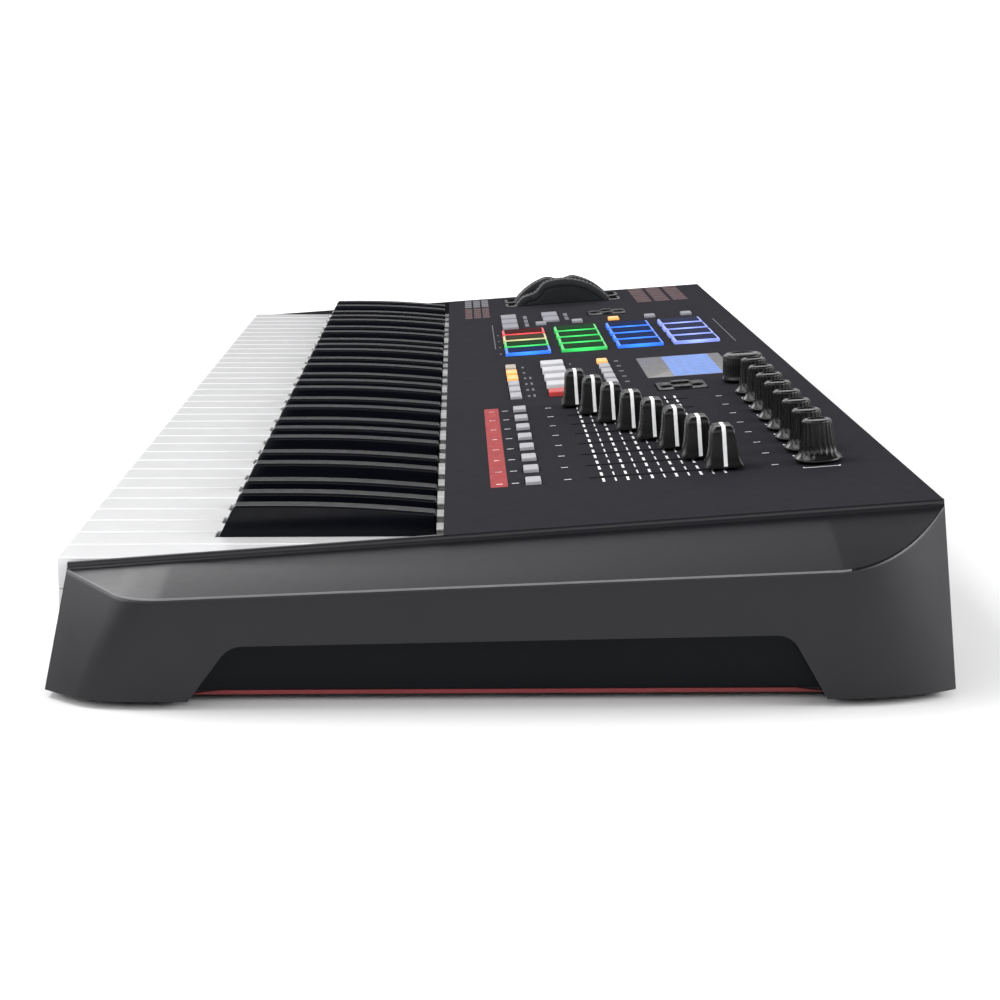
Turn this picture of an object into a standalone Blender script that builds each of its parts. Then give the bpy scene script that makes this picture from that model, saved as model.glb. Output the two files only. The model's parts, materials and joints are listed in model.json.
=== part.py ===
"""A 61-key controller synthesizer, modelled as an assembly of separate solids.

Frame: X runs along the keyboard (+X is the treble end), Y runs from the player (-Y) to the rear (+Y)
and +Z is up. The origin is the middle of the footprint, on the surface that the feet stand on.
Lengths are metres. Everything on the control panel is placed in the panel's own frame: an empty on
the panel's front edge, tilted with it, whose X is the keyboard's, whose Y runs up the slope and
whose Z is the panel's normal.
"""

import math

import bmesh
import bpy
from mathutils import Vector

MM = 0.001

# ---- Overall size ------------------------------------------------------------------------------
HALF_DEPTH = 156 * MM
BASE_Z = 2.5 * MM  # underside of the case, which the rubber feet hold up
REAR_FACE_Y = 152.5 * MM  # outside of the rear panel, which stands in from the ends
REAR_THICKNESS = 3 * MM
GAP = 0.3 * MM  # left between pieces that touch
OVERLAP = 1.0 * MM  # how far shapes that a union joins run into each other

# ---- Control panel -----------------------------------------------------------------------------
PANEL_TILT = math.radians(4.0)
PANEL_FRONT_Y = -19.5 * MM
PANEL_FRONT_Z = 51.1 * MM
PANEL_THICKNESS = 3.2 * MM
PANEL_HALF_WIDTH = 426.5 * MM
PANEL_LIP_DEPTH = 5.6 * MM
PANEL_LIP_THICKNESS = 2.0 * MM
PANEL_RUN = HALF_DEPTH - PANEL_FRONT_Y - PANEL_THICKNESS * math.sin(PANEL_TILT)
PANEL_LENGTH = PANEL_RUN / math.cos(PANEL_TILT)

# ---- End caps ----------------------------------------------------------------------------------
CAP_INNER_X = 424.5 * MM
CAP_RIM_FRONT_Y = -152 * MM
CAP_STEP = 2.2 * MM  # from the rim beside the panel down to the sloping facet
CAP_STEP_LEAN = 0.4 * MM

# ---- Keys --------------------------------------------------------------------------------------
OCTAVES = 5
WHITE_PER_OCTAVE = 7
WHITE_COUNT = OCTAVES * WHITE_PER_OCTAVE + 1
KEY_PITCH = 23.5 * MM
KEY_GAP = 1.0 * MM
KEYS_LEFT_X = -WHITE_COUNT / 2 * KEY_PITCH
KEY_FRONT_Y = -155.4 * MM
KEY_TOP_Z = 42.8 * MM
KEY_HEAD_BOTTOM_Z = 23.0 * MM
KEY_TAIL_BOTTOM_Z = 31.5 * MM
BLACK_FRONT_Y = -102.8 * MM
BLACK_TOP_FRONT_Y = -96.7 * MM
BLACK_REAR_Y = -22.3 * MM
BLACK_RISE_FRONT = 11.1 * MM
BLACK_RISE_REAR = 8.2 * MM
BLACK_HALF_WIDTH = 5.8 * MM
BLACK_TOP_HALF_WIDTH = 4.9 * MM
BLACK_CLEARANCE = 0.9 * MM
HEAD_END_Y = BLACK_FRONT_Y - BLACK_CLEARANCE
# C to E holds five key tails and F to B seven, each group sharing its width equally.
TAIL_GROUPS = ((0, 3, 5), (3, 7, 7))
COMB_SPINE_Z = (26 * MM, 29 * MM)
COMB_POST_TOP_Z = 34 * MM
COMB_SPINE_DEPTH = 4 * MM
FULCRUM_Y = -2.0 * MM
FULCRUM_Z = 29.7 * MM
FULCRUM_RADIUS = 1.5 * MM
WHITE_TAIL_END_Y = 1.5 * MM
BLACK_TAIL_END_Y = 7.0 * MM
# The keys of one octave are moulded as three combs. Each has its spine at its own depth.
COMBS = {
    "outer_whites": {"whites": (0, 2, 4, 6), "spine_y": -24 * MM},
    "inner_whites": {"whites": (1, 3, 5), "spine_y": -16 * MM},
    "sharps": {"blacks": (0, 1, 2, 3, 4), "spine_y": 3 * MM},
}

# ---- Controls: places are (x, y) in the keyboard's frame, measured on the panel ----------------
CHANNEL_COUNT = 8
CHANNEL_PITCH = 28.3 * MM
CHANNEL_LAST_X = 332.5 * MM
CHANNELS_X = [CHANNEL_LAST_X - (CHANNEL_COUNT - 1 - i) * CHANNEL_PITCH for i in range(CHANNEL_COUNT)]
FADER_BOTTOM_Y = 42.0 * MM
FADER_TRAVEL = 47.4 * MM
FADER_SLOT_MARGIN = 5.2 * MM
FADER_SLOT_WIDTH = 2.4 * MM
KNOB_Y = 126.2 * MM
DATA_KNOB_XY = (90 * MM, 126.2 * MM)
PAD_SIZE = 25.5 * MM
PAD_PITCH = 31.67 * MM
PAD_FIRST_XY = (-92.9 * MM, 26.0 * MM)
PAD_RISE = 2.0 * MM
PAD_COUNT = 4
BUTTON_RISE = 1.3 * MM
BUTTON_CLEARANCE = 0.4 * MM
WEB_THICKNESS = 1.2 * MM
WEB_MARGIN = 1.5 * MM
CURSOR_XY = (90 * MM, 95.5 * MM)
TRANSPORT_CONTROL_XY = (-278 * MM, 82 * MM)
CURSOR_SIZE = (28 * MM, 24 * MM)
DISPLAY_X = (-30 * MM, 53.5 * MM)
DISPLAY_Y = (82.3 * MM, 127 * MM)

# ---- Wheels ------------------------------------------------------------------------------------
WHEELS_X = {"pitch_wheel": -396.3 * MM, "mod_wheel": -368 * MM}
WHEEL_Y = 58 * MM
WHEEL_RADIUS = 41 * MM
WHEEL_DEPTH = 25 * MM  # axle below the panel's surface
WHEEL_WIDTH = 16 * MM
WHEEL_SECTOR = math.radians(83)  # half of it
WHEEL_HUB_RADIUS = 8 * MM
WHEEL_BORE_RADIUS = 2.25 * MM
AXLE_RADIUS = 2.0 * MM
NOTCH_DEPTH = 3.0 * MM
NOTCH_HALF_ANGLE = math.radians(15)
NOTCH_CENTRES = {"pitch_wheel": 0.0, "mod_wheel": math.radians(-30)}
WHEEL_SLOT = (WHEEL_WIDTH + 2 * MM, 74 * MM)

# ---- Rear sockets, seen from above: x of each, all on one line ---------------------------------
SOCKET_Z = 28 * MM
POWER_BUTTON_X = 320 * MM
POWER_BUTTON_SIZE = (12 * MM, 8 * MM)
ROUND_SOCKETS = {  # x, radius of the hole, half size of the body, depth
    "dc": (345 * MM, 3.3 * MM, 5 * MM, 10 * MM),
    "expression": (262 * MM, 3.3 * MM, 6.5 * MM, 20 * MM),
    "foot_switch_2": (238 * MM, 3.3 * MM, 6.5 * MM, 20 * MM),
    "foot_switch_1": (214 * MM, 3.3 * MM, 6.5 * MM, 20 * MM),
    "midi_out": (180 * MM, 7.7 * MM, 10 * MM, 10 * MM),
    "midi_in": (148 * MM, 7.7 * MM, 10 * MM, 10 * MM),
}
USB_SOCKET = (290 * MM, 9.2 * MM, 8.4 * MM, 7 * MM, 10 * MM)  # x, width, height, half body, depth

# ---- Colours: red, green, blue, then roughness and metallic ------------------------------------
LOOKS = {
    "case_plastic": ((0.050, 0.050, 0.054), 0.45, 0.0),
    "panel_paint": ((0.042, 0.042, 0.046), 0.50, 0.0),
    "base_red": ((0.30, 0.02, 0.02), 0.50, 0.0),
    "white_key": ((0.86, 0.86, 0.85), 0.25, 0.0),
    "black_key": ((0.012, 0.013, 0.018), 0.12, 0.0),
    "steel": ((0.55, 0.56, 0.58), 0.35, 1.0),
    "board": ((0.02, 0.12, 0.05), 0.50, 0.0),
    "control_black": ((0.015, 0.015, 0.017), 0.30, 0.0),
    "button_grey": ((0.45, 0.46, 0.50), 0.55, 0.0),
    "pad_rubber": ((0.03, 0.03, 0.035), 0.60, 0.0),
    "display_glass": ((0.10, 0.20, 0.55), 0.08, 0.0),
    "rubber": ((0.02, 0.02, 0.02), 0.80, 0.0),
}


# ---- Small tools -------------------------------------------------------------------------------
def clear_scene():
    for obj in list(bpy.data.objects):
        bpy.data.objects.remove(obj)


def material(name):
    """The Principled material of this name, made on first use."""
    made = bpy.data.materials.get(name)
    if made is None:
        colour, roughness, metallic = LOOKS[name]
        made = bpy.data.materials.new(name)
        made.use_nodes = True
        shader = made.node_tree.nodes["Principled BSDF"]
        shader.inputs["Base Color"].default_value = (*colour, 1)
        shader.inputs["Roughness"].default_value = roughness
        shader.inputs["Metallic"].default_value = metallic
        made.diffuse_color = (*colour, 1)
    return made


def link(name, bm, parent=None, location=(0, 0, 0)):
    """An object of this name holding the bmesh's faces, with their normals outwards."""
    bmesh.ops.recalc_face_normals(bm, faces=bm.faces)
    mesh = bpy.data.meshes.new(name)
    bm.to_mesh(mesh)
    bm.free()
    obj = bpy.data.objects.new(name, mesh)
    bpy.context.scene.collection.objects.link(obj)
    obj.parent = parent
    obj.location = location
    return obj


def piece(name, bm, look, parent=None, location=(0, 0, 0), round_piece=False):
    """A named piece of the object."""
    obj = link(name, bm, parent, location)
    obj.data.materials.append(material(look))
    if round_piece:
        obj.data.shade_smooth()
        obj.data.set_sharp_from_angle(angle=math.radians(35))
    return obj


def tool(name, bm, parent=None, location=(0, 0, 0)):
    """A helper shape, which only a Boolean uses."""
    obj = link(name, bm, parent, location)
    obj.hide_render = True
    obj.display_type = "WIRE"
    return obj


def boolean(obj, other, operation, own_overlaps=False):
    """Cuts or joins the helper shape. own_overlaps is for a helper whose own shapes overlap."""
    modifier = obj.modifiers.new(operation.lower() + "_" + other.name, "BOOLEAN")
    modifier.operation = operation
    modifier.object = other
    modifier.use_self = own_overlaps


def loft(bm, rings):
    """A closed solid through rings of equally many points, capped at both ends."""
    loops = [[bm.verts.new(point) for point in ring] for ring in rings]
    count = len(loops[0])
    for first, second in zip(loops, loops[1:]):
        for i in range(count):
            j = (i + 1) % count
            bm.faces.new((first[i], first[j], second[j], second[i]))
    bm.faces.new(loops[0])
    bm.faces.new(loops[-1])


def box(bm, x, y, z):
    """A box from pairs of low and high values."""
    corners = ((x[0], y[0]), (x[1], y[0]), (x[1], y[1]), (x[0], y[1]))
    loft(bm, [[(a, b, height) for a, b in corners] for height in z])


def box_at(bm, centre, size, z):
    """A box round a centre (x, y), of a size (x, y), between two heights."""
    box(bm, *[(c - s / 2, c + s / 2) for c, s in zip(centre, size)], z)


def prism_along_x(bm, outline, x):
    """An outline of (y, z) points pushed along X."""
    loft(bm, [[(value, y, z) for y, z in outline] for value in x])


def prism_along_y(bm, outline, y):
    """An outline of (x, z) points pushed along Y."""
    loft(bm, [[(x, value, z) for x, z in outline] for value in y])


def circle(radius, segments, centre=(0, 0), start=0.0):
    """Points of a circle."""
    step = 2 * math.pi / segments
    return [
        (centre[0] + radius * math.cos(start + i * step), centre[1] + radius * math.sin(start + i * step))
        for i in range(segments)
    ]


def turned(bm, profile, segments):
    """A solid of revolution about Z through (radius, height) rings."""
    loft(bm, [[(x, y, height) for x, y in circle(radius, segments)] for radius, height in profile])


def rod(bm, centre, radius, z, segments=16):
    """A round bar along Z."""
    loft(bm, [[(x, y, height) for x, y in circle(radius, segments, centre)] for height in z])


def curve_through(start, pull, end, steps):
    """Points of a quadratic curve from start to end, pulled towards a third point."""
    start, pull, end = Vector(start), Vector(pull), Vector(end)
    values = [i / steps for i in range(steps + 1)]
    return [start * (1 - t) ** 2 + pull * 2 * t * (1 - t) + end * t**2 for t in values]


def panel_z(y):
    """Height of the panel's surface at a depth y in the keyboard's frame."""
    return PANEL_FRONT_Z + (y - PANEL_FRONT_Y) * math.tan(PANEL_TILT)


def up_slope(y):
    """The panel frame's Y for a depth y in the keyboard's frame."""
    return (y - PANEL_FRONT_Y) / math.cos(PANEL_TILT)


def on_panel(x, y, height=0.0):
    """A place in the panel's frame for (x, y) in the keyboard's frame."""
    return (x, up_slope(y), height)


# ---- Case --------------------------------------------------------------------------------------
def cap_paths(rear_steps=6, crease_steps=3):
    """The right end cap's outer lines from front to rear: the facet's lower edge, and the foot."""
    edge = [Vector((428.5, -151.0, 39.4))]
    edge += curve_through((459.0, -130.5, 37.4), (467.5, -124.5, 37.2), (468.1, -113.0, 37.7),
                          crease_steps)
    edge += curve_through((468.2, 114.0, 46.5), (466.5, 136.0, 48.3), (427.5, 155.8, 61.2), rear_steps)
    foot = [Vector((451.0, -156.0, 2.5))]
    foot += curve_through((461.5, -145.0, 2.5), (468.2, -137.5, 2.5), (468.5, -117.0, 2.5), crease_steps)
    foot += curve_through((468.5, 116.0, 2.5), (468.0, 140.0, 2.5), (456.0, 156.0, 2.5), rear_steps)
    return [p * MM for p in edge], [p * MM for p in foot]


def end_cap(name, side):
    """The moulded end of the case: a rim beside the keys, a sloping facet and a side wall."""
    rim_x = PANEL_HALF_WIDTH
    rings = []
    for edge, foot in zip(*cap_paths()):
        inner_y = max(CAP_RIM_FRONT_Y, min(edge.y, HALF_DEPTH))
        base_y = foot.y if foot.y <= -HALF_DEPTH else inner_y
        top = panel_z(inner_y)
        rings.append(
            [
                (side * CAP_INNER_X, inner_y, top),
                (side * rim_x, inner_y, top),
                (side * (rim_x + CAP_STEP_LEAN), inner_y, top - CAP_STEP),
                (side * edge.x, edge.y, edge.z),
                (side * foot.x, foot.y, foot.z),
                (side * CAP_INNER_X, base_y, foot.z),
            ]
        )
    rings[-1] = [(x, HALF_DEPTH, z) for x, y, z in rings[-1]]
    bm = bmesh.new()
    loft(bm, rings)
    cap = piece(name, bm, "case_plastic")

    def span(x0, x1):
        return sorted((side * x0 * MM, side * x1 * MM))

    arch = [(-108 * MM, -1 * MM), *corner((-91.5, 21.6), 5), *corner((97.5, 24.6), 5, falling=True)]
    arch.append((112 * MM, -1 * MM))
    cutters = {"arch": bmesh.new(), "lower_hollow": bmesh.new(), "upper_hollow": bmesh.new()}
    prism_along_x(cutters["arch"], arch, span(457, 480))
    box(cutters["lower_hollow"], span(415, 453.5), (-132 * MM, 140 * MM), (6.5 * MM, 33 * MM))
    box(cutters["upper_hollow"], span(415, 463.5), (-105 * MM, 100 * MM), (28.5 * MM, 33.5 * MM))
    for kind, shape in cutters.items():
        boolean(cap, tool(f"{name}_{kind}", shape), "DIFFERENCE")
    seat = bmesh.new()
    lip_end, below = PANEL_LIP_THICKNESS + GAP, -PANEL_THICKNESS - GAP
    seat_outline = [(-GAP, 10 * MM), (-GAP, -PANEL_LIP_DEPTH - GAP), (lip_end, -PANEL_LIP_DEPTH - GAP)]
    seat_outline += [(lip_end, below), (PANEL_LENGTH + 5 * MM, below), (PANEL_LENGTH + 5 * MM, 10 * MM)]
    prism_along_x(seat, seat_outline, span(415, 426.5 + 0.3))
    boolean(cap, tool(f"{name}_panel_seat", seat, PANEL_FRAME), "DIFFERENCE")
    return cap


def corner(point, size, falling=False):
    """A rounded top corner of the arch, as (y, z) points; sizes in millimetres."""
    y, z = point
    lean = 0.68 * size
    if falling:
        path = curve_through((y - size, z, 0), (y, z, 0), (y + lean * 0.8, z - size, 0), 3)
    else:
        path = curve_through((y - lean, z - size, 0), (y, z, 0), (y + size, z, 0), 3)
    return [(p.x * MM, p.y * MM) for p in path]


def bottom_case():
    """The tray: a floor, a low front wall under the keys, and high side walls behind them."""
    bm = bmesh.new()
    rear = REAR_FACE_Y - REAR_THICKNESS - GAP
    box(bm, (-423.5 * MM, 423.5 * MM), (-150 * MM, rear), (BASE_Z, 46 * MM))
    tray = piece("bottom_case", bm, "base_red")
    inside = bmesh.new()
    box(inside, (-421 * MM, 421 * MM), (-147.5 * MM, 160 * MM), (5 * MM, 60 * MM))
    boolean(tray, tool("tray_inside", inside), "DIFFERENCE")
    above = bmesh.new()
    box(above, (-450 * MM, 450 * MM), (-170 * MM, 24 * MM), (11.5 * MM, 70 * MM))
    boolean(tray, tool("tray_front_cut", above), "DIFFERENCE")


def rear_panel():
    """The upright plate at the back, with the holes of its sockets. It stands in from the end caps."""
    inner_face = REAR_FACE_Y - REAR_THICKNESS
    top = panel_z(inner_face) - PANEL_THICKNESS - 2 * GAP
    bm = bmesh.new()
    box(bm, (-423 * MM, 423 * MM), (inner_face, REAR_FACE_Y), (BASE_Z, top))
    plate = piece("rear_panel", bm, "case_plastic")
    holes = bmesh.new()
    depth = (145 * MM, 165 * MM)
    for x, radius, _, _ in ROUND_SOCKETS.values():
        prism_along_y(holes, circle(radius + 0.5 * MM, 16, (x, SOCKET_Z)), depth)
    usb_x, width, height, _, _ = USB_SOCKET
    for x, size in ((usb_x, (width + 1 * MM, height + 1 * MM)), (POWER_BUTTON_X, POWER_BUTTON_SIZE)):
        box(
            holes,
            (x - size[0] / 2 - GAP, x + size[0] / 2 + GAP),
            depth,
            (SOCKET_Z - size[1] / 2 - GAP, SOCKET_Z + size[1] / 2 + GAP),
        )
    boolean(plate, tool("rear_holes", holes), "DIFFERENCE")


def feet():
    """Four rubber feet under the end caps."""
    for end, x in (("left", -443 * MM), ("right", 443 * MM)):
        for place, y in (("front", -138 * MM), ("rear", 134 * MM)):
            bm = bmesh.new()
            turned(bm, ((8 * MM, 0), (8.5 * MM, BASE_Z - GAP)), 20)
            piece(f"foot_{place}_{end}", bm, "rubber", location=(x, y, 0), round_piece=True)


# ---- Control panel -----------------------------------------------------------------------------
def top_panel():
    """The sloping sheet over the electronics, with a hole for each control."""
    front = PANEL_LIP_THICKNESS
    outline = [(0, 0), (0, -PANEL_LIP_DEPTH), (front, -PANEL_LIP_DEPTH), (front, -PANEL_THICKNESS)]
    outline += [(PANEL_LENGTH, -PANEL_THICKNESS), (PANEL_LENGTH, 0)]
    bm = bmesh.new()
    prism_along_x(bm, outline, (-PANEL_HALF_WIDTH, PANEL_HALF_WIDTH))
    panel = piece("top_panel", bm, "panel_paint", PANEL_FRAME)
    holes = bmesh.new()
    through = (-10 * MM, 10 * MM)

    def opening(xy, size):
        box_at(holes, on_panel(*xy)[:2], size, through)

    slot_length = FADER_TRAVEL + 2 * FADER_SLOT_MARGIN
    for x in CHANNELS_X:
        opening((x, FADER_BOTTOM_Y + FADER_TRAVEL / 2), (FADER_SLOT_WIDTH, slot_length))
        rod(holes, on_panel(x, KNOB_Y)[:2], 4 * MM, through, 12)
    rod(holes, on_panel(*DATA_KNOB_XY)[:2], 4 * MM, through, 12)
    for mat in BUTTON_MATS.values():
        for xy, size in mat["buttons"]:
            opening(xy, [s + 2 * BUTTON_CLEARANCE for s in size])
    for xy in (CURSOR_XY, TRANSPORT_CONTROL_XY):
        opening(xy, [s + 2 * BUTTON_CLEARANCE for s in CURSOR_SIZE])
    for xy in pad_places():
        opening(xy, [PAD_SIZE + 2 * BUTTON_CLEARANCE] * 2)
    opening(display_centre(), [s + 2 * GAP for s in display_size()])
    for x in WHEELS_X.values():
        opening((x, WHEEL_Y), WHEEL_SLOT)
    boolean(panel, tool("panel_holes", holes, PANEL_FRAME), "DIFFERENCE")


def pad_places():
    """Centres of the sixteen pads."""
    x, y = PAD_FIRST_XY
    return [(x - i * PAD_PITCH, y + j * PAD_PITCH) for j in range(PAD_COUNT) for i in range(PAD_COUNT)]


def display_centre():
    return (sum(DISPLAY_X) / 2, sum(DISPLAY_Y) / 2)


def display_size():
    return (DISPLAY_X[1] - DISPLAY_X[0], DISPLAY_Y[1] - DISPLAY_Y[0])


def display():
    """The display module: a window flush with the panel on a deeper body."""
    bm = bmesh.new()
    centre = on_panel(*display_centre())[:2]
    size = display_size()
    wide = [s + 8 * MM for s in size]
    levels = ((wide, -9 * MM), (wide, -PANEL_THICKNESS - GAP), (size, -PANEL_THICKNESS - GAP), (size, -GAP))
    rings = []
    for (width, depth), height in levels:
        rings.append([(centre[0] + sx * width / 2, centre[1] + sy * depth / 2, height)
                      for sx, sy in ((-1, -1), (1, -1), (1, 1), (-1, 1))])
    loft(bm, rings)
    piece("display", bm, "display_glass", PANEL_FRAME)


def button_row(first, step, count, size):
    """Buttons of one size in a straight row: a list of ((x, y), size)."""
    return [((first[0] + i * step[0], first[1] + i * step[1]), size) for i in range(count)]


# Each mat is one silicone moulding: its buttons, and the webs under the panel that join them,
# as (x range, y range) in the keyboard's frame.
BUTTON_MATS = {
    "channel_switch_mat": {
        "buttons": button_row((CHANNELS_X[0], 15.1 * MM), (CHANNEL_PITCH, 0), CHANNEL_COUNT,
                              (12 * MM, 6 * MM)),
        "webs": [((126.5 * MM, 340 * MM), (10.6 * MM, 19.6 * MM))],
    },
    "transport_mat": {
        "buttons": button_row((88 * MM, 36.8 * MM), (-CHANNEL_PITCH, 0), 5, (15 * MM, 12 * MM)),
        "webs": [((-34 * MM, 97 * MM), (29.3 * MM, 44.3 * MM))],
    },
    "bank_mat": {
        "buttons": button_row((88.3 * MM, 14.6 * MM), (-22.6 * MM, 0), 6, (15.5 * MM, 5.6 * MM)),
        "webs": [((-34 * MM, 97.5 * MM), (10.3 * MM, 18.9 * MM))],
    },
    "preset_mat": {
        "buttons": button_row((60.7 * MM, 63.8 * MM), (-21.3 * MM, 0), 5, (14.5 * MM, 5.5 * MM)),
        "webs": [((-33.3 * MM, 69.5 * MM), (59.5 * MM, 68 * MM))],
    },
    "performance_mat": {
        "buttons": button_row((-228 * MM, 19.2 * MM), (-CHANNEL_PITCH, 0), 3, (22 * MM, 9.8 * MM))
        + button_row((-255.5 * MM, 45.6 * MM), (-CHANNEL_PITCH, 0), 2, (22 * MM, 9.8 * MM))
        + button_row((-235 * MM, 38.5 * MM), (0, 22.7 * MM), 5, (12 * MM, 6.5 * MM)),
        "webs": [
            ((-297 * MM, -215.5 * MM), (12.8 * MM, 25.6 * MM)),
            ((-296.5 * MM, -232 * MM), (39.2 * MM, 52 * MM)),
            ((-242.5 * MM, -227.5 * MM), (20 * MM, 134.5 * MM)),
        ],
    },
}


def mat_of(name, look, webs, tops, web_top):
    """Raised tops joined by thin webs: (x range, y range) webs, and ((x, y), size, height) tops."""
    base = bmesh.new()
    others = bmesh.new()
    level = (web_top - WEB_THICKNESS, web_top)
    for i, (x, y) in enumerate(webs):
        shrink = 0.05 * MM * i  # keeps the webs' faces out of one plane
        box(base if i == 0 else others, x, [up_slope(v) for v in y], (level[0] + shrink, level[1] - shrink))
    for xy, size, height in tops:
        centre = on_panel(*xy)[:2]
        rings = []
        for scale, z in ((1.0, web_top - OVERLAP * 0.6), (1.0, height - 0.4 * MM), (0.93, height)):
            half = [s * scale / 2 for s in size]
            rings.append([(centre[0] + sx * half[0], centre[1] + sy * half[1], z)
                          for sx, sy in ((-1, -1), (1, -1), (1, 1), (-1, 1))])
        loft(others, rings)
    mat = piece(name, base, look, PANEL_FRAME)
    boolean(mat, tool(f"{name}_tops", others, PANEL_FRAME), "UNION", own_overlaps=len(webs) > 1)


def button_mats():
    web_top = -PANEL_THICKNESS - GAP
    for name, mat in BUTTON_MATS.items():
        tops = [(xy, size, BUTTON_RISE) for xy, size in mat["buttons"]]
        mat_of(name, "button_grey", mat["webs"], tops, web_top)
    x, y = PAD_FIRST_XY
    reach = (PAD_COUNT - 1) * PAD_PITCH + PAD_SIZE / 2 + WEB_MARGIN
    web = ((x - reach, x + PAD_SIZE / 2 + WEB_MARGIN), (y - PAD_SIZE / 2 - WEB_MARGIN, y + reach))
    pads = [(place, (PAD_SIZE, PAD_SIZE), PAD_RISE) for place in pad_places()]
    mat_of("pad_mat", "pad_rubber", [web], pads, web_top)


def cursor_pad(name, xy):
    """A four-way rocker: a plate with a raised key at each side."""
    half_x, half_y = (s / 2 for s in CURSOR_SIZE)
    base = bmesh.new()
    centre = on_panel(*xy)
    levels = ((1.12, -5.5 * MM), (1.12, -4.2 * MM), (1.0, -4.2 * MM), (1.0, 0.5 * MM))
    loft(base, [[(sx * half_x * k, sy * half_y * k, z) for sx, sy in ((-1, -1), (1, -1), (1, 1), (-1, 1))]
                for k, z in levels])
    pad = piece(name, base, "control_black", PANEL_FRAME, centre)
    keys = bmesh.new()
    for dx, dy in ((-1, 0), (1, 0), (0, -1), (0, 1)):
        place = (dx * (half_x - 5 * MM), dy * (half_y - 4 * MM))
        box_at(keys, place, (7 * MM, 6 * MM), (-1 * MM, 1.4 * MM))
    boolean(pad, tool(f"{name}_keys", keys, PANEL_FRAME, centre), "UNION")


# ---- Knobs and faders --------------------------------------------------------------------------
KNOB_PROFILE = (  # outside from the skirt up, then down the bore
    (9.4, 0.9), (9.3, 1.6), (7.6, 3.4), (6.7, 6.0), (6.2, 10.0), (5.8, 15.9), (5.2, 16.8),
)
DATA_KNOB_PROFILE = ((10.4, 0.9), (10.2, 2.2), (9.6, 12.6), (8.8, 13.8))
BORE_RADIUS = 3.4 * MM
SHAFT_RADIUS = 3.0 * MM


def knob(name, profile, xy, bore_top):
    """A turned knob with a blind bore for its shaft."""
    rings = [(r * MM, z * MM) for r, z in profile]
    rings = [(BORE_RADIUS, bore_top), (BORE_RADIUS, rings[0][1]), *rings]
    bm = bmesh.new()
    turned(bm, rings, 20)
    return piece(name, bm, "control_black", PANEL_FRAME, on_panel(*xy), round_piece=True)


def knobs():
    for i, x in enumerate(CHANNELS_X):
        knob(f"knob_{i + 1}", KNOB_PROFILE, (x, KNOB_Y), 12.5 * MM)
    knob("data_knob", DATA_KNOB_PROFILE, DATA_KNOB_XY, 10.5 * MM)
    bm = bmesh.new()
    turned(bm, ((SHAFT_RADIUS, -8 * MM), (SHAFT_RADIUS, 9.6 * MM)), 16)
    piece("data_shaft", bm, "steel", PANEL_FRAME, on_panel(*DATA_KNOB_XY), round_piece=True)


def fader_caps():
    """Tall caps with flared sides. Each carries the tang that reaches down through its slot."""
    levels = (  # half size along X and up the slope, height
        (0.6, 2.0, -8.0), (0.6, 2.0, 1.0), (7.4, 7.3, 1.0), (7.3, 7.1, 1.8), (6.9, 5.8, 4.5),
        (6.7, 5.0, 9.0), (6.5, 4.5, 15.5), (5.9, 3.9, 17.4),
    )
    for i, x in enumerate(CHANNELS_X):
        y = FADER_BOTTOM_Y + FADER_TRAVEL * i / (CHANNEL_COUNT - 1)
        bm = bmesh.new()
        loft(bm, [[(sx * a * MM, sy * b * MM, z * MM) for sx, sy in ((-1, -1), (1, -1), (1, 1), (-1, 1))]
                  for a, b, z in levels])
        piece(f"fader_cap_{i + 1}", bm, "control_black", PANEL_FRAME, on_panel(x, y))


# ---- Wheels ------------------------------------------------------------------------------------
def wheel_centre():
    """The wheels' axle in the panel's frame, as (y, z)."""
    return (up_slope(WHEEL_Y), -WHEEL_DEPTH)


def wheels():
    """Two sector wheels with a finger notch in the rim, turning on one axle."""
    centre_y, centre_z = wheel_centre()
    steps = 32
    for name, x in WHEELS_X.items():
        outline = []
        for i in range(steps + 1):
            from_notch = -WHEEL_SECTOR + 2 * WHEEL_SECTOR * i / steps
            away = from_notch / NOTCH_HALF_ANGLE
            dip = NOTCH_DEPTH * math.cos(away * math.pi / 2) ** 2 if abs(away) < 1 else 0.0
            radius = WHEEL_RADIUS - dip
            angle = NOTCH_CENTRES[name] + from_notch
            outline.append((radius * math.sin(angle), radius * math.cos(angle)))
        for i in range(7):
            angle = NOTCH_CENTRES[name] + WHEEL_SECTOR + (2 * math.pi - 2 * WHEEL_SECTOR) * i / 6
            outline.append((WHEEL_HUB_RADIUS * math.sin(angle), WHEEL_HUB_RADIUS * math.cos(angle)))
        bm = bmesh.new()
        prism_along_x(bm, outline, (-WHEEL_WIDTH / 2, WHEEL_WIDTH / 2))
        place = (x, centre_y, centre_z)
        wheel = piece(name, bm, "rubber", PANEL_FRAME, place, round_piece=True)
        bore = bmesh.new()
        prism_along_x(bore, circle(WHEEL_BORE_RADIUS, 16), (-WHEEL_WIDTH, WHEEL_WIDTH))
        boolean(wheel, tool(f"{name}_bore", bore, PANEL_FRAME, place), "DIFFERENCE")


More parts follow.
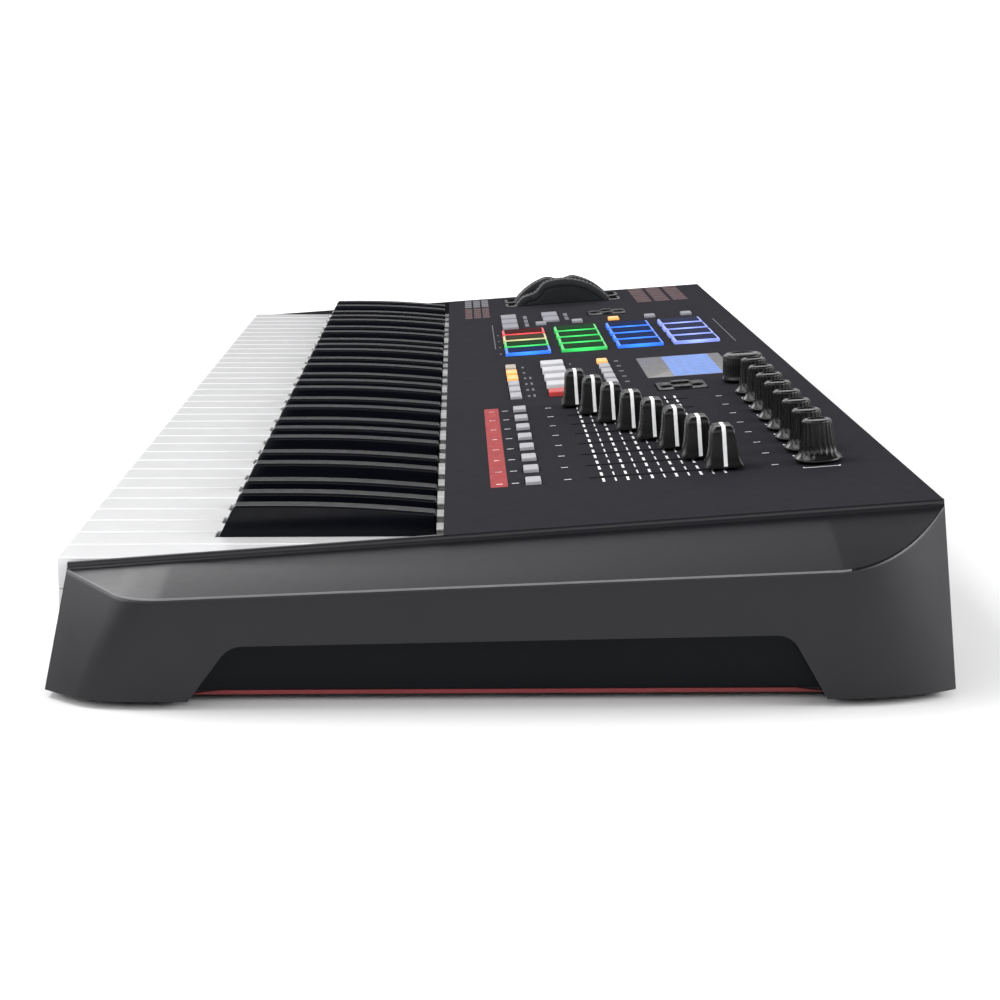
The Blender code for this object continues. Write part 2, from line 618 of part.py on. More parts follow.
def wheel_bracket():
    """A steel channel on the case's floor that holds the wheels' axle."""
    panel_y, panel_height = wheel_centre()
    centre = PANEL_FRAME.matrix_world @ Vector((0, panel_y, panel_height))
    outer, inner = (-414.5 * MM, -350 * MM), (-412.5 * MM, -352 * MM)
    floor, top = (5 * MM + GAP, 7 * MM), centre.z + 5 * MM
    outline = [(outer[0], floor[0]), (outer[1], floor[0]), (outer[1], top), (inner[1], top)]
    outline += [(inner[1], floor[1]), (inner[0], floor[1]), (inner[0], top), (outer[0], top)]
    bm = bmesh.new()
    prism_along_y(bm, outline, (centre.y - 10 * MM, centre.y + 10 * MM))
    bracket = piece("wheel_bracket", bm, "steel")
    axle = bmesh.new()
    middle = (centre.y, centre.z)
    prism_along_x(axle, circle(AXLE_RADIUS, 16, middle), (outer[0] + 0.5 * MM, outer[1] - 0.5 * MM))
    boolean(bracket, tool("wheel_axle", axle), "UNION")


# ---- Keys --------------------------------------------------------------------------------------
def tail_slot(index):
    """(low, high) of one of an octave's twelve equal-share key tails, from the octave's left."""
    first = 0
    for start, end, tails in TAIL_GROUPS:
        if index < first + tails:
            share = (end - start) * KEY_PITCH / tails
            low = start * KEY_PITCH + (index - first) * share
            return low, low + share
        first += tails
    raise ValueError(index)


BLACK_TAILS = (1, 3, 6, 8, 10)  # which of the octave's tails are sharps


def black_centre(octave_x, index):
    low, high = tail_slot(BLACK_TAILS[index])
    return octave_x + (low + high) / 2


def white_key(bm, octave_x, index, lone=False):
    """One natural: a full-width head, and a tail that passes between its sharps."""
    left = octave_x + index * KEY_PITCH + KEY_GAP / 2
    right = left + KEY_PITCH - KEY_GAP
    sharps = [] if lone else [black_centre(octave_x, i) for i in range(len(BLACK_TAILS))]
    reach = BLACK_HALF_WIDTH + BLACK_CLEARANCE
    tail_left = max([left] + [x + reach for x in sharps if x - reach < left + 9 * MM < x + KEY_PITCH])
    tail_right = min([right] + [x - reach for x in sharps if x - KEY_PITCH < right - 9 * MM < x + reach])
    head = [(left, KEY_FRONT_Y), (right, KEY_FRONT_Y), (right, HEAD_END_Y)]
    head += [(x, HEAD_END_Y) for x in (tail_right, tail_left) if left < x < right]
    head.append((left, HEAD_END_Y))
    verts = {point: bm.verts.new((*point, KEY_TOP_Z)) for point in head}
    rear = [bm.verts.new((x, WHITE_TAIL_END_Y, KEY_TOP_Z)) for x in (tail_right, tail_left)]
    top_head = bm.faces.new([verts[point] for point in head])
    joint = [verts[(tail_left, HEAD_END_Y)], verts[(tail_right, HEAD_END_Y)]]
    top_tail = bm.faces.new([*joint, *rear])
    pushed = bmesh.ops.extrude_face_region(bm, geom=[top_head, top_tail])["geom"]
    lower = [item for item in pushed if isinstance(item, bmesh.types.BMVert)]
    bmesh.ops.translate(bm, verts=lower, vec=(0, 0, KEY_TAIL_BOTTOM_Z - KEY_TOP_Z))
    head_bottom = max((item for item in pushed if isinstance(item, bmesh.types.BMFace)),
                      key=lambda face: -face.calc_center_median().y)
    skirt = bmesh.ops.extrude_discrete_faces(bm, faces=[head_bottom])["faces"]
    bmesh.ops.translate(bm, verts=skirt[0].verts, vec=(0, 0, KEY_HEAD_BOTTOM_Z - KEY_TAIL_BOTTOM_Z))
    return (max(tail_left, left) + min(tail_right, right)) / 2


def black_key(bm, octave_x, index):
    """One sharp: a tapered body with a raked front, and a low tail under the panel."""
    centre = black_centre(octave_x, index)
    tail_top = KEY_TOP_Z - 0.8 * MM
    profile = [
        (BLACK_FRONT_Y, KEY_TAIL_BOTTOM_Z),
        (BLACK_FRONT_Y, KEY_TOP_Z),
        (BLACK_TOP_FRONT_Y, KEY_TOP_Z + BLACK_RISE_FRONT),
        (BLACK_REAR_Y, KEY_TOP_Z + BLACK_RISE_REAR),
        (BLACK_REAR_Y, tail_top),
        (BLACK_TAIL_END_Y, tail_top),
        (BLACK_TAIL_END_Y, KEY_TAIL_BOTTOM_Z),
    ]
    sides = []
    for sign in (-1, 1):
        side = []
        for y, z in profile:
            half = BLACK_TOP_HALF_WIDTH if z > KEY_TOP_Z + MM else BLACK_HALF_WIDTH
            side.append((centre + sign * half, y, z))
        sides.append(side)
    loft(bm, sides)
    return centre


def comb(name, octave_x, whites=(), blacks=(), spine_y=0.0, lone=False, look="white_key"):
    """Keys moulded together: the keys, and a spine below them with a post up into each tail."""
    keys = bmesh.new()
    centres = [white_key(keys, octave_x, i, lone) for i in whites]
    centres += [black_key(keys, octave_x, i) for i in blacks]
    half = 3.5 * MM
    low, high = COMB_SPINE_Z
    outline = [(centres[-1] + half, low), (centres[0] - half, low)]
    for centre in centres:
        outline += [(centre - half, high), (centre - half, COMB_POST_TOP_Z)]
        outline += [(centre + half, COMB_POST_TOP_Z), (centre + half, high)]
    del outline[2], outline[-1]
    bm = bmesh.new()
    prism_along_y(bm, outline, (spine_y, spine_y + COMB_SPINE_DEPTH))
    spine = piece(name, bm, look)
    boolean(spine, tool(f"{name}_keys", keys), "UNION")


def keys():
    for octave in range(OCTAVES):
        x = KEYS_LEFT_X + octave * WHITE_PER_OCTAVE * KEY_PITCH
        for kind, parts in COMBS.items():
            look = "black_key" if "blacks" in parts else "white_key"
            comb(f"keys_{kind}_{octave + 1}", x, look=look, **parts)
    x = KEYS_LEFT_X + OCTAVES * WHITE_PER_OCTAVE * KEY_PITCH
    comb("key_top_c", x, whites=(0,), spine_y=COMBS["outer_whites"]["spine_y"], lone=True)


def key_chassis():
    """A folded steel bed: a floor, a stop rail in front, the fulcrum bead, and a rear wall."""
    sheet = 1.5 * MM
    floor, top = 5 * MM + GAP, 5 * MM + GAP + sheet
    bead = [(FULCRUM_Y + FULCRUM_RADIUS * math.cos(a), FULCRUM_Z + FULCRUM_RADIUS * math.sin(a))
            for a in (math.radians(180 - 22.5 * i) for i in range(9))]
    outline = [(-142 * MM, floor), (-142 * MM, 11 * MM), (-140.5 * MM, 11 * MM), (-140.5 * MM, top)]
    outline += [(-64 * MM, top), (-64 * MM, 20 * MM), (-62.5 * MM, 20 * MM), (-62.5 * MM, top)]
    outline += [(FULCRUM_Y - FULCRUM_RADIUS, top), *bead, (FULCRUM_Y + FULCRUM_RADIUS, top)]
    outline += [(9.5 * MM, top), (9.5 * MM, 38 * MM), (11 * MM, 38 * MM), (11 * MM, floor)]
    bm = bmesh.new()
    prism_along_x(bm, outline, (-418 * MM, 418 * MM))
    piece("key_chassis", bm, "steel")


# ---- Electronics -------------------------------------------------------------------------------
def control_board():
    """The board under the panel with the fader pots and the encoders and their shafts."""
    bm = bmesh.new()
    board_z = (-14 * MM, -12.4 * MM)
    box(bm, (-300 * MM, 350 * MM), (up_slope(30 * MM), up_slope(147 * MM)), board_z)
    board = piece("control_board", bm, "board", PANEL_FRAME)
    bodies, shafts, grooves = bmesh.new(), bmesh.new(), bmesh.new()
    root = board_z[1] - 0.5 * MM
    middle = FADER_BOTTOM_Y + FADER_TRAVEL / 2
    for x in CHANNELS_X:
        centre = on_panel(x, middle)[:2]
        box_at(bodies, centre, (9 * MM, 66 * MM), (root, -5 * MM))
        box_at(grooves, centre, (2.4 * MM, 58 * MM), (-9.5 * MM, 0))
    encoders = [(x, KNOB_Y) for x in CHANNELS_X]
    for xy in encoders:
        centre = on_panel(*xy)[:2]
        box_at(bodies, centre, (12 * MM, 12 * MM), (root, -6 * MM))
        rod(shafts, centre, SHAFT_RADIUS, (-8 * MM, 11.6 * MM), 16)
    data = on_panel(*DATA_KNOB_XY)[:2]
    box_at(bodies, data, (12 * MM, 12 * MM), (root, -9.5 * MM))
    boolean(board, tool("board_bodies", bodies, PANEL_FRAME), "UNION")
    boolean(board, tool("board_shafts", shafts, PANEL_FRAME), "UNION")
    boolean(board, tool("board_grooves", grooves, PANEL_FRAME), "DIFFERENCE")


def main_board():
    """The processor board on the case's floor."""
    bm = bmesh.new()
    box(bm, (-120 * MM, 80 * MM), (40 * MM, 118 * MM), (8 * MM, 9.6 * MM))
    board = piece("main_board", bm, "board")
    parts = bmesh.new()
    for x, y, size, top in ((-60, 80, 22, 12), (0, 90, 14, 11.5), (45, 65, 18, 16), (-100, 60, 10, 18)):
        box_at(parts, (x * MM, y * MM), (size * MM, size * MM), (9 * MM, top * MM))
    for x, y in ((-114, 46), (74, 46), (-114, 112), (74, 112)):
        box_at(parts, (x * MM, y * MM), (6 * MM, 6 * MM), (5 * MM + GAP, 9 * MM))
    boolean(board, tool("main_board_parts", parts), "UNION")


def jack_board():
    """The upright board behind the rear panel, with the sockets."""
    face_y = REAR_FACE_Y - REAR_THICKNESS - GAP
    bm = bmesh.new()
    box(bm, (136 * MM, 353 * MM), (126 * MM, 127.6 * MM), (10 * MM, 42 * MM))
    board = piece("jack_board", bm, "board")
    bodies, holes = bmesh.new(), bmesh.new()
    for x, radius, half, depth in ROUND_SOCKETS.values():
        box(bodies, (x - half, x + half), (127 * MM, face_y), (SOCKET_Z - half, SOCKET_Z + half))
        prism_along_y(holes, circle(radius, 16, (x, SOCKET_Z)), (face_y - depth, 165 * MM))
    x, width, height, half, depth = USB_SOCKET
    box(bodies, (x - half, x + half), (127 * MM, face_y), (SOCKET_Z - half, SOCKET_Z + half))
    box(holes, (x - width / 2, x + width / 2), (face_y - depth, 165 * MM),
        (SOCKET_Z - height / 2, SOCKET_Z + height / 2))
    boolean(board, tool("socket_bodies", bodies), "UNION")
    boolean(board, tool("socket_holes", holes), "DIFFERENCE")


def power_button():
    """The latching mains button, which reaches out through the rear panel."""
    half_x, half_z = (s / 2 for s in POWER_BUTTON_SIZE)
    bm = bmesh.new()
    box(bm, (POWER_BUTTON_X - half_x, POWER_BUTTON_X + half_x), (136 * MM, 155.6 * MM),
        (SOCKET_Z - half_z, SOCKET_Z + half_z))
    piece("power_button", bm, "control_black")


clear_scene()
PANEL_FRAME = bpy.data.objects.new("panel_frame", None)
bpy.context.scene.collection.objects.link(PANEL_FRAME)
PANEL_FRAME.location = (0, PANEL_FRONT_Y, PANEL_FRONT_Z)
PANEL_FRAME.rotation_euler = (PANEL_TILT, 0, 0)
bpy.context.view_layer.update()

bottom_case()
rear_panel()
end_cap("end_cap_left", -1)
end_cap("end_cap_right", 1)
feet()
top_panel()
display()
button_mats()
cursor_pad("cursor_pad", CURSOR_XY)
cursor_pad("transport_pad", TRANSPORT_CONTROL_XY)
knobs()
fader_caps()
wheels()
wheel_bracket()
keys()
key_chassis()
control_board()
main_board()
jack_board()
power_button()
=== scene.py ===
"""Looks of the controller synthesizer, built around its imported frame.

Controls are placed in the panel's own frame: x runs along the keyboard, y up the slope and z along
the panel's normal. A place on the panel is given as (x, y) in the keyboard's frame, and up_slope
turns its y into the panel's. Lengths are metres.
"""

import json
import math

import bmesh
import bpy
from mathutils import Matrix, Vector


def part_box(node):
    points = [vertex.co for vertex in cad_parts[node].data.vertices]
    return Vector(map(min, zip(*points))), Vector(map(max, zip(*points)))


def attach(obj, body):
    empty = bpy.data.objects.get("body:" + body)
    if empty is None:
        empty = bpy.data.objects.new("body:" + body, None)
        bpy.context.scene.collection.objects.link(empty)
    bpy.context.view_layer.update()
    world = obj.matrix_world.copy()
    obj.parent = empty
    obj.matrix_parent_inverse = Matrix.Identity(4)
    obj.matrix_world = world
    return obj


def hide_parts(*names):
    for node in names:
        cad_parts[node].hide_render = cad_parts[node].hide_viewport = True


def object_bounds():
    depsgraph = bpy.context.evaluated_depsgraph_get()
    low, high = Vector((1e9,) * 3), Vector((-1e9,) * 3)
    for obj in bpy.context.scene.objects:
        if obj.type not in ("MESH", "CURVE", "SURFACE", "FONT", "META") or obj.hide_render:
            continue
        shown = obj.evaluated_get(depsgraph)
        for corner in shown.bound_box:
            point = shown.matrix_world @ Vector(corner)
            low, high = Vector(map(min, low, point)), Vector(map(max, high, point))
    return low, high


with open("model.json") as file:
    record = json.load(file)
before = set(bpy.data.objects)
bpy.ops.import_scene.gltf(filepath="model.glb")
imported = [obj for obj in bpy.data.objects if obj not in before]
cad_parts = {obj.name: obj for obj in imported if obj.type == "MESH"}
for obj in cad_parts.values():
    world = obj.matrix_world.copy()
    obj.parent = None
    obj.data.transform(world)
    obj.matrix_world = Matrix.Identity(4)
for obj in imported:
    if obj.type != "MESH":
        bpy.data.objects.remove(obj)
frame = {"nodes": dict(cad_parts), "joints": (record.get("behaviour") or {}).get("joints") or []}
CAD_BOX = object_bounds()
MM = 0.001
JOINTS = {joint["name"]: joint for joint in frame["joints"]}

# ---- The panel's frame -------------------------------------------------------------------------
NORMAL = Vector(JOINTS["knob_1_turn"]["axis"]).normalized()
SLOPE = NORMAL.cross(Vector((1, 0, 0)))
PANEL_FRONT_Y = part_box("top_panel")[0].y
KNOB_POINT = Vector(JOINTS["knob_1_turn"]["pos_m"])
PANEL_FRONT = KNOB_POINT + SLOPE * ((PANEL_FRONT_Y - KNOB_POINT.y) / SLOPE.y)
PANEL = Matrix.LocRotScale(
    Vector((0, PANEL_FRONT.y, PANEL_FRONT.z)),
    Matrix(((1, 0, 0), SLOPE, NORMAL)).transposed(),
    None,
)
WORLD = Matrix.Identity(4)

# ---- Keys --------------------------------------------------------------------------------------
OCTAVES = 5
WHITE_PER_OCTAVE = 7
KEY_GAP = 1.0 * MM
KEYS_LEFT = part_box("keys_outer_whites_1")[0].x - KEY_GAP / 2
KEYS_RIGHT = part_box("key_top_c")[1].x + KEY_GAP / 2
KEY_PITCH = (KEYS_RIGHT - KEYS_LEFT) / (OCTAVES * WHITE_PER_OCTAVE + 1)
WHITE_FRONT_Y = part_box("key_top_c")[0].y
WHITE_TOP_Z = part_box("key_top_c")[1].z
WHITE_REAR_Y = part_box("key_top_c")[1].y
BLACK_FRONT_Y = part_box("keys_sharps_1")[0].y
BLACK_TOP_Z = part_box("keys_sharps_1")[1].z
BLACK_REAR_Y = PANEL_FRONT_Y - 2.8 * MM
BLACK_HALF = 5.8 * MM
BLACK_CLEARANCE = 0.9 * MM
SHOULDER_GAP = 0.45 * MM
BLACK_CROWN = 1.1 * MM
BLACK_RAKE = 6.1 * MM
BLACK_DROP = 2.9 * MM
BLACK_TAPER = 0.155
BLACK_SECTIONS = 10
KEY_DEPTH = 11.3 * MM
WHITE_FRONT_DEPTH = 19.8 * MM
TAIL_GROUPS = ((0, 3, 5), (3, 7, 7))
WHITE_BODIES = ("outer_whites", "inner_whites")

# ---- Controls ----------------------------------------------------------------------------------
CHANNELS_X = [sum(c.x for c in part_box(f"knob_{i}")) / 2 for i in range(1, 9)]
CHANNEL_PITCH = CHANNELS_X[1] - CHANNELS_X[0]
KNOB_Y = KNOB_POINT.y
DATA_KNOB_XY = tuple(JOINTS["data_knob_turn"]["pos_m"][:2])
FADER_BOTTOM_Y = 42.0 * MM
FADER_TRAVEL = 47.4 * MM
PAD_SIZE = 25.5 * MM
PAD_PITCH = 31.67 * MM
PAD_FIRST_XY = (-92.9 * MM, 26.0 * MM)
PAD_RISE = 2.0 * MM
BUTTON_RISE = 1.3 * MM
TRANSPORT_RISE = 2.1 * MM
BUTTON_ROWS = {  # mat: rows of (first centre, step, count, size)
    "channel_switch_mat": [((CHANNELS_X[0], 15.1 * MM), (CHANNEL_PITCH, 0), 8, (12 * MM, 6 * MM))],
    "transport_mat": [((88 * MM, 36.8 * MM), (-CHANNEL_PITCH, 0), 5, (15 * MM, 12 * MM))],
    "bank_mat": [((88.3 * MM, 14.6 * MM), (-22.6 * MM, 0), 6, (15.5 * MM, 5.6 * MM))],
    "preset_mat": [((60.7 * MM, 63.8 * MM), (-21.3 * MM, 0), 5, (14.5 * MM, 5.5 * MM))],
    "performance_mat": [
        ((-228 * MM, 19.2 * MM), (-CHANNEL_PITCH, 0), 3, (22 * MM, 9.8 * MM)),
        ((-255.5 * MM, 45.6 * MM), (-CHANNEL_PITCH, 0), 2, (22 * MM, 9.8 * MM)),
        ((-235 * MM, 38.5 * MM), (0, 22.7 * MM), 5, (12 * MM, 6.5 * MM)),
    ],
}


# ---- Mesh tools --------------------------------------------------------------------------------
def loft(bm, rings, closed=False):
    """A solid through rings of equally many points, capped at both ends unless it closes on itself."""
    loops = [[bm.verts.new(point) for point in ring] for ring in rings]
    count = len(loops[0])
    pairs = list(zip(loops, loops[1:]))
    if closed:
        pairs.append((loops[-1], loops[0]))
    for first, second in pairs:
        for i in range(count):
            j = (i + 1) % count
            bm.faces.new((first[i], first[j], second[j], second[i]))
    if not closed:
        bm.faces.new(loops[0])
        bm.faces.new(loops[-1])


def box(bm, x, y, z):
    """A box from pairs of low and high values."""
    corners = ((x[0], y[0]), (x[1], y[0]), (x[1], y[1]), (x[0], y[1]))
    loft(bm, [[(a, b, height) for a, b in corners] for height in z])


def circle(radius, segments, centre=(0, 0)):
    """Points round a circle."""
    step = 2 * math.pi / segments
    return [
        (centre[0] + radius * math.cos(i * step), centre[1] + radius * math.sin(i * step))
        for i in range(segments)
    ]


def rounded_rectangle(size, radius, steps=4, centre=(0, 0)):
    """Points round a rectangle with round corners."""
    points = []
    for quarter, (sx, sy) in enumerate(((1, 1), (-1, 1), (-1, -1), (1, -1))):
        cx = centre[0] + sx * (size[0] / 2 - radius)
        cy = centre[1] + sy * (size[1] / 2 - radius)
        for i in range(steps + 1):
            angle = math.pi / 2 * (quarter + i / steps)
            points.append((cx + radius * math.cos(angle), cy + radius * math.sin(angle)))
    return points


def button(bm, centre, size, z, corner, edge, dish=0.0):
    """A block with round corners and a rolled top edge. dish lowers the middle of its top."""
    low, high = z
    rings = [(0.0, low)]
    for i in range(5):
        angle = math.pi / 2 * i / 4
        rings.append((edge * (1 - math.cos(angle)), high - edge + edge * math.sin(angle)))
    if dish:
        rings.append((edge * 2.5, high - dish * 0.6))
        rings.append((min(size) * 0.35, high - dish))
    loops = []
    for inset, height in rings:
        inner = [s - 2 * inset for s in size]
        radius = max(corner - inset, 0.15 * MM)
        loops.append([(x, y, height) for x, y in rounded_rectangle(inner, radius, 4, centre)])
    loft(bm, loops)


def turned(bm, profile, segments, wave=None):
    """A solid of revolution about Z. wave(angle, height) scales the radius."""
    rings = []
    for radius, height in profile:
        ring = []
        for i in range(segments):
            angle = 2 * math.pi * i / segments
            r = radius * (wave(angle, height) if wave else 1)
            ring.append((r * math.cos(angle), r * math.sin(angle), height))
        rings.append(ring)
    loft(bm, rings)


def curve_through(start, pull, end, steps):
    """Points of a quadratic curve from start to end, pulled towards a third point."""
    start, pull, end = Vector(start), Vector(pull), Vector(end)
    values = [i / steps for i in range(steps + 1)]
    return [start * (1 - t) ** 2 + pull * 2 * t * (1 - t) + end * t**2 for t in values]


def filleted(points, radii, steps=4):
    """A closed line whose corners are rounded, each by its own reach."""
    line = []
    for i, (point, radius) in enumerate(zip(points, radii)):
        before, after = points[i - 1], points[(i + 1) % len(points)]
        if not radius:
            line += [point] * (steps + 1)
            continue
        to_before = (before - point).normalized() * min(radius, (before - point).length * 0.45)
        to_after = (after - point).normalized() * min(radius, (after - point).length * 0.45)
        line += curve_through(point + to_before, point, point + to_after, steps)
    return line


def up_slope(y):
    """The panel frame's y for a depth y in the keyboard's frame."""
    return (y - PANEL_FRONT_Y) / SLOPE.y


def panel_place(x, y, height=0.0):
    """A matrix at a place on the panel, turned as the panel is."""
    return PANEL @ Matrix.Translation((x, up_slope(y), height))


def piece(name, bm, look, body="case", place=WORLD, bevel=0.0, sharp=40, replaced=()):
    """A piece of the object in its look, riding on a body."""
    bmesh.ops.recalc_face_normals(bm, faces=bm.faces)
    mesh = bpy.data.meshes.new(name)
    bm.to_mesh(mesh)
    bm.free()
    obj = bpy.data.objects.new(name, mesh)
    bpy.context.scene.collection.objects.link(obj)
    obj.matrix_world = place
    mesh.materials.append(LOOKS[look])
    mesh.shade_smooth()
    if bevel:
        modifier = obj.modifiers.new("bevel", "BEVEL")
        modifier.width = bevel
        modifier.segments = 3
        modifier.limit_method = "ANGLE"
        modifier.angle_limit = math.radians(30)
        modifier.harden_normals = True
    else:
        mesh.set_sharp_from_angle(angle=math.radians(sharp))
    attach(obj, body)
    if replaced:
        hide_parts(*replaced)
    return obj


# ---- Materials ---------------------------------------------------------------------------------
LOOKS = {}
COLOUR_A, COLOUR_B, COLOUR_RESULT = 6, 7, 2  # a colour mix node's sockets


def look(name, colour, roughness, grain=0.0, grain_size=0.5, mottling=0.06, wear=0.0, **sockets):
    """A moulded or painted surface.

    grain is the strength of its fine relief and grain_size that relief's scale in millimetres,
    mottling is how far its colour and gloss drift, and wear lightens its edges.
    """
    material = bpy.data.materials.new(name)
    material.use_nodes = True
    tree = material.node_tree
    shader = tree.nodes["Principled BSDF"]
    where = tree.nodes.new("ShaderNodeTexCoord").outputs["Object"]

    def noise(size, detail=3.0):
        node = tree.nodes.new("ShaderNodeTexNoise")
        node.inputs["Scale"].default_value = 1000 / size
        node.inputs["Detail"].default_value = detail
        tree.links.new(where, node.inputs["Vector"])
        return node.outputs["Fac"]

    def spread(value, low, high):
        node = tree.nodes.new("ShaderNodeMapRange")
        node.inputs["From Min"].default_value = 0.3
        node.inputs["From Max"].default_value = 0.7
        node.inputs["To Min"].default_value = low
        node.inputs["To Max"].default_value = high
        tree.links.new(value, node.inputs["Value"])
        return node.outputs["Result"]

    def blended(factor, first, second):
        node = tree.nodes.new("ShaderNodeMix")
        node.data_type = "RGBA"
        tree.links.new(factor, node.inputs["Factor"])
        for index, value in ((COLOUR_A, first), (COLOUR_B, second)):
            target = node.inputs[index]
            if isinstance(value, tuple):
                target.default_value = (*value, 1)
            else:
                tree.links.new(value, target)
        return node.outputs[COLOUR_RESULT]

    darker = tuple(c * (1 - mottling) for c in colour)
    lighter = tuple(min(1, c * (1 + mottling)) for c in colour)
    tint = blended(spread(noise(14.0), 0, 1), darker, lighter)
    if wear:
        edges = tree.nodes.new("ShaderNodeNewGeometry").outputs["Pointiness"]
        ramp = tree.nodes.new("ShaderNodeMapRange")
        ramp.inputs["From Min"].default_value = 0.52
        ramp.inputs["From Max"].default_value = 0.62
        ramp.inputs["To Max"].default_value = wear
        tree.links.new(edges, ramp.inputs["Value"])
        tint = blended(ramp.outputs["Result"], tint, tuple(min(1, c * 2.2 + 0.03) for c in colour))
    tree.links.new(tint, shader.inputs["Base Color"])
    drift = max(0.02, roughness * mottling * 1.5)
    tree.links.new(spread(noise(5.0, 5.0), roughness - drift, roughness + drift), shader.inputs["Roughness"])
    if grain:
        bump = tree.nodes.new("ShaderNodeBump")
        bump.inputs["Strength"].default_value = grain
        bump.inputs["Distance"].default_value = 0.05 * MM
        tree.links.new(noise(grain_size, 2.0), bump.inputs["Height"])
        tree.links.new(bump.outputs["Normal"], shader.inputs["Normal"])
    for socket, value in sockets.items():
        shader.inputs[socket.replace("_", " ")].default_value = value
    LOOKS[name] = material
    return material


def glow(name, colour, strength, roughness=0.4):
    """A lit translucent surface, whose brightness drifts a little."""
    material = look(name, tuple(c * 0.6 for c in colour), roughness, mottling=0.15)
    shader = material.node_tree.nodes["Principled BSDF"]
    shader.inputs["Emission Color"].default_value = (*colour, 1)
    shader.inputs["Emission Strength"].default_value = strength
    return material


def shade_by(material, source, stops, socket):
    """Set a shader's socket from a ramp over a value that changes across the surface."""
    tree = material.node_tree
    ramp = tree.nodes.new("ShaderNodeValToRGB")
    ramp.color_ramp.interpolation = "EASE"
    elements = ramp.color_ramp.elements
    for place, _ in stops[1:-1]:
        elements.new(place)
    for element, (place, level) in zip(elements, stops):
        element.position = place
        element.color = (level, level, level, 1)
    tree.links.new(source, ramp.inputs["Fac"])
    tree.links.new(ramp.outputs["Color"], tree.nodes["Principled BSDF"].inputs[socket])


def lit_pad(name, colour, strength):
    """A pad's glowing skirt, brightest in the middle of each side where its lamp is."""
    material = glow(name, colour, strength)
    tree = material.node_tree
    apart = tree.nodes.new("ShaderNodeSeparateXYZ")
    tree.links.new(tree.nodes.new("ShaderNodeTexCoord").outputs["Generated"], apart.inputs["Vector"])
    edge, middle = strength * 0.6, strength * 1.5
    stops = ((0.05, edge), (0.5, middle), (0.95, edge))
    shade_by(material, apart.outputs["Y"], stops, "Emission Strength")


FLOOR_HALF = 8.0
FLOOR_THICKNESS = 0.05
FLOOR_TOP_Z = -0.0002


def far_glow(material):
    """Lift the floor far from the object, so that the background stays white."""
    tree = material.node_tree
    shader = tree.nodes["Principled BSDF"]
    shader.inputs["Emission Color"].default_value = (1, 1, 1, 1)
    length = tree.nodes.new("ShaderNodeVectorMath")
    length.operation = "LENGTH"
    tree.links.new(tree.nodes.new("ShaderNodeTexCoord").outputs["Object"], length.inputs[0])
    reach = tree.nodes.new("ShaderNodeMapRange")
    reach.inputs["From Max"].default_value = FLOOR_HALF
    tree.links.new(length.outputs["Value"], reach.inputs["Value"])
    stops = ((0.08, 0.0), (0.16, 0.6), (1.0, 1.0))
    shade_by(material, reach.outputs["Result"], stops, "Emission Strength")


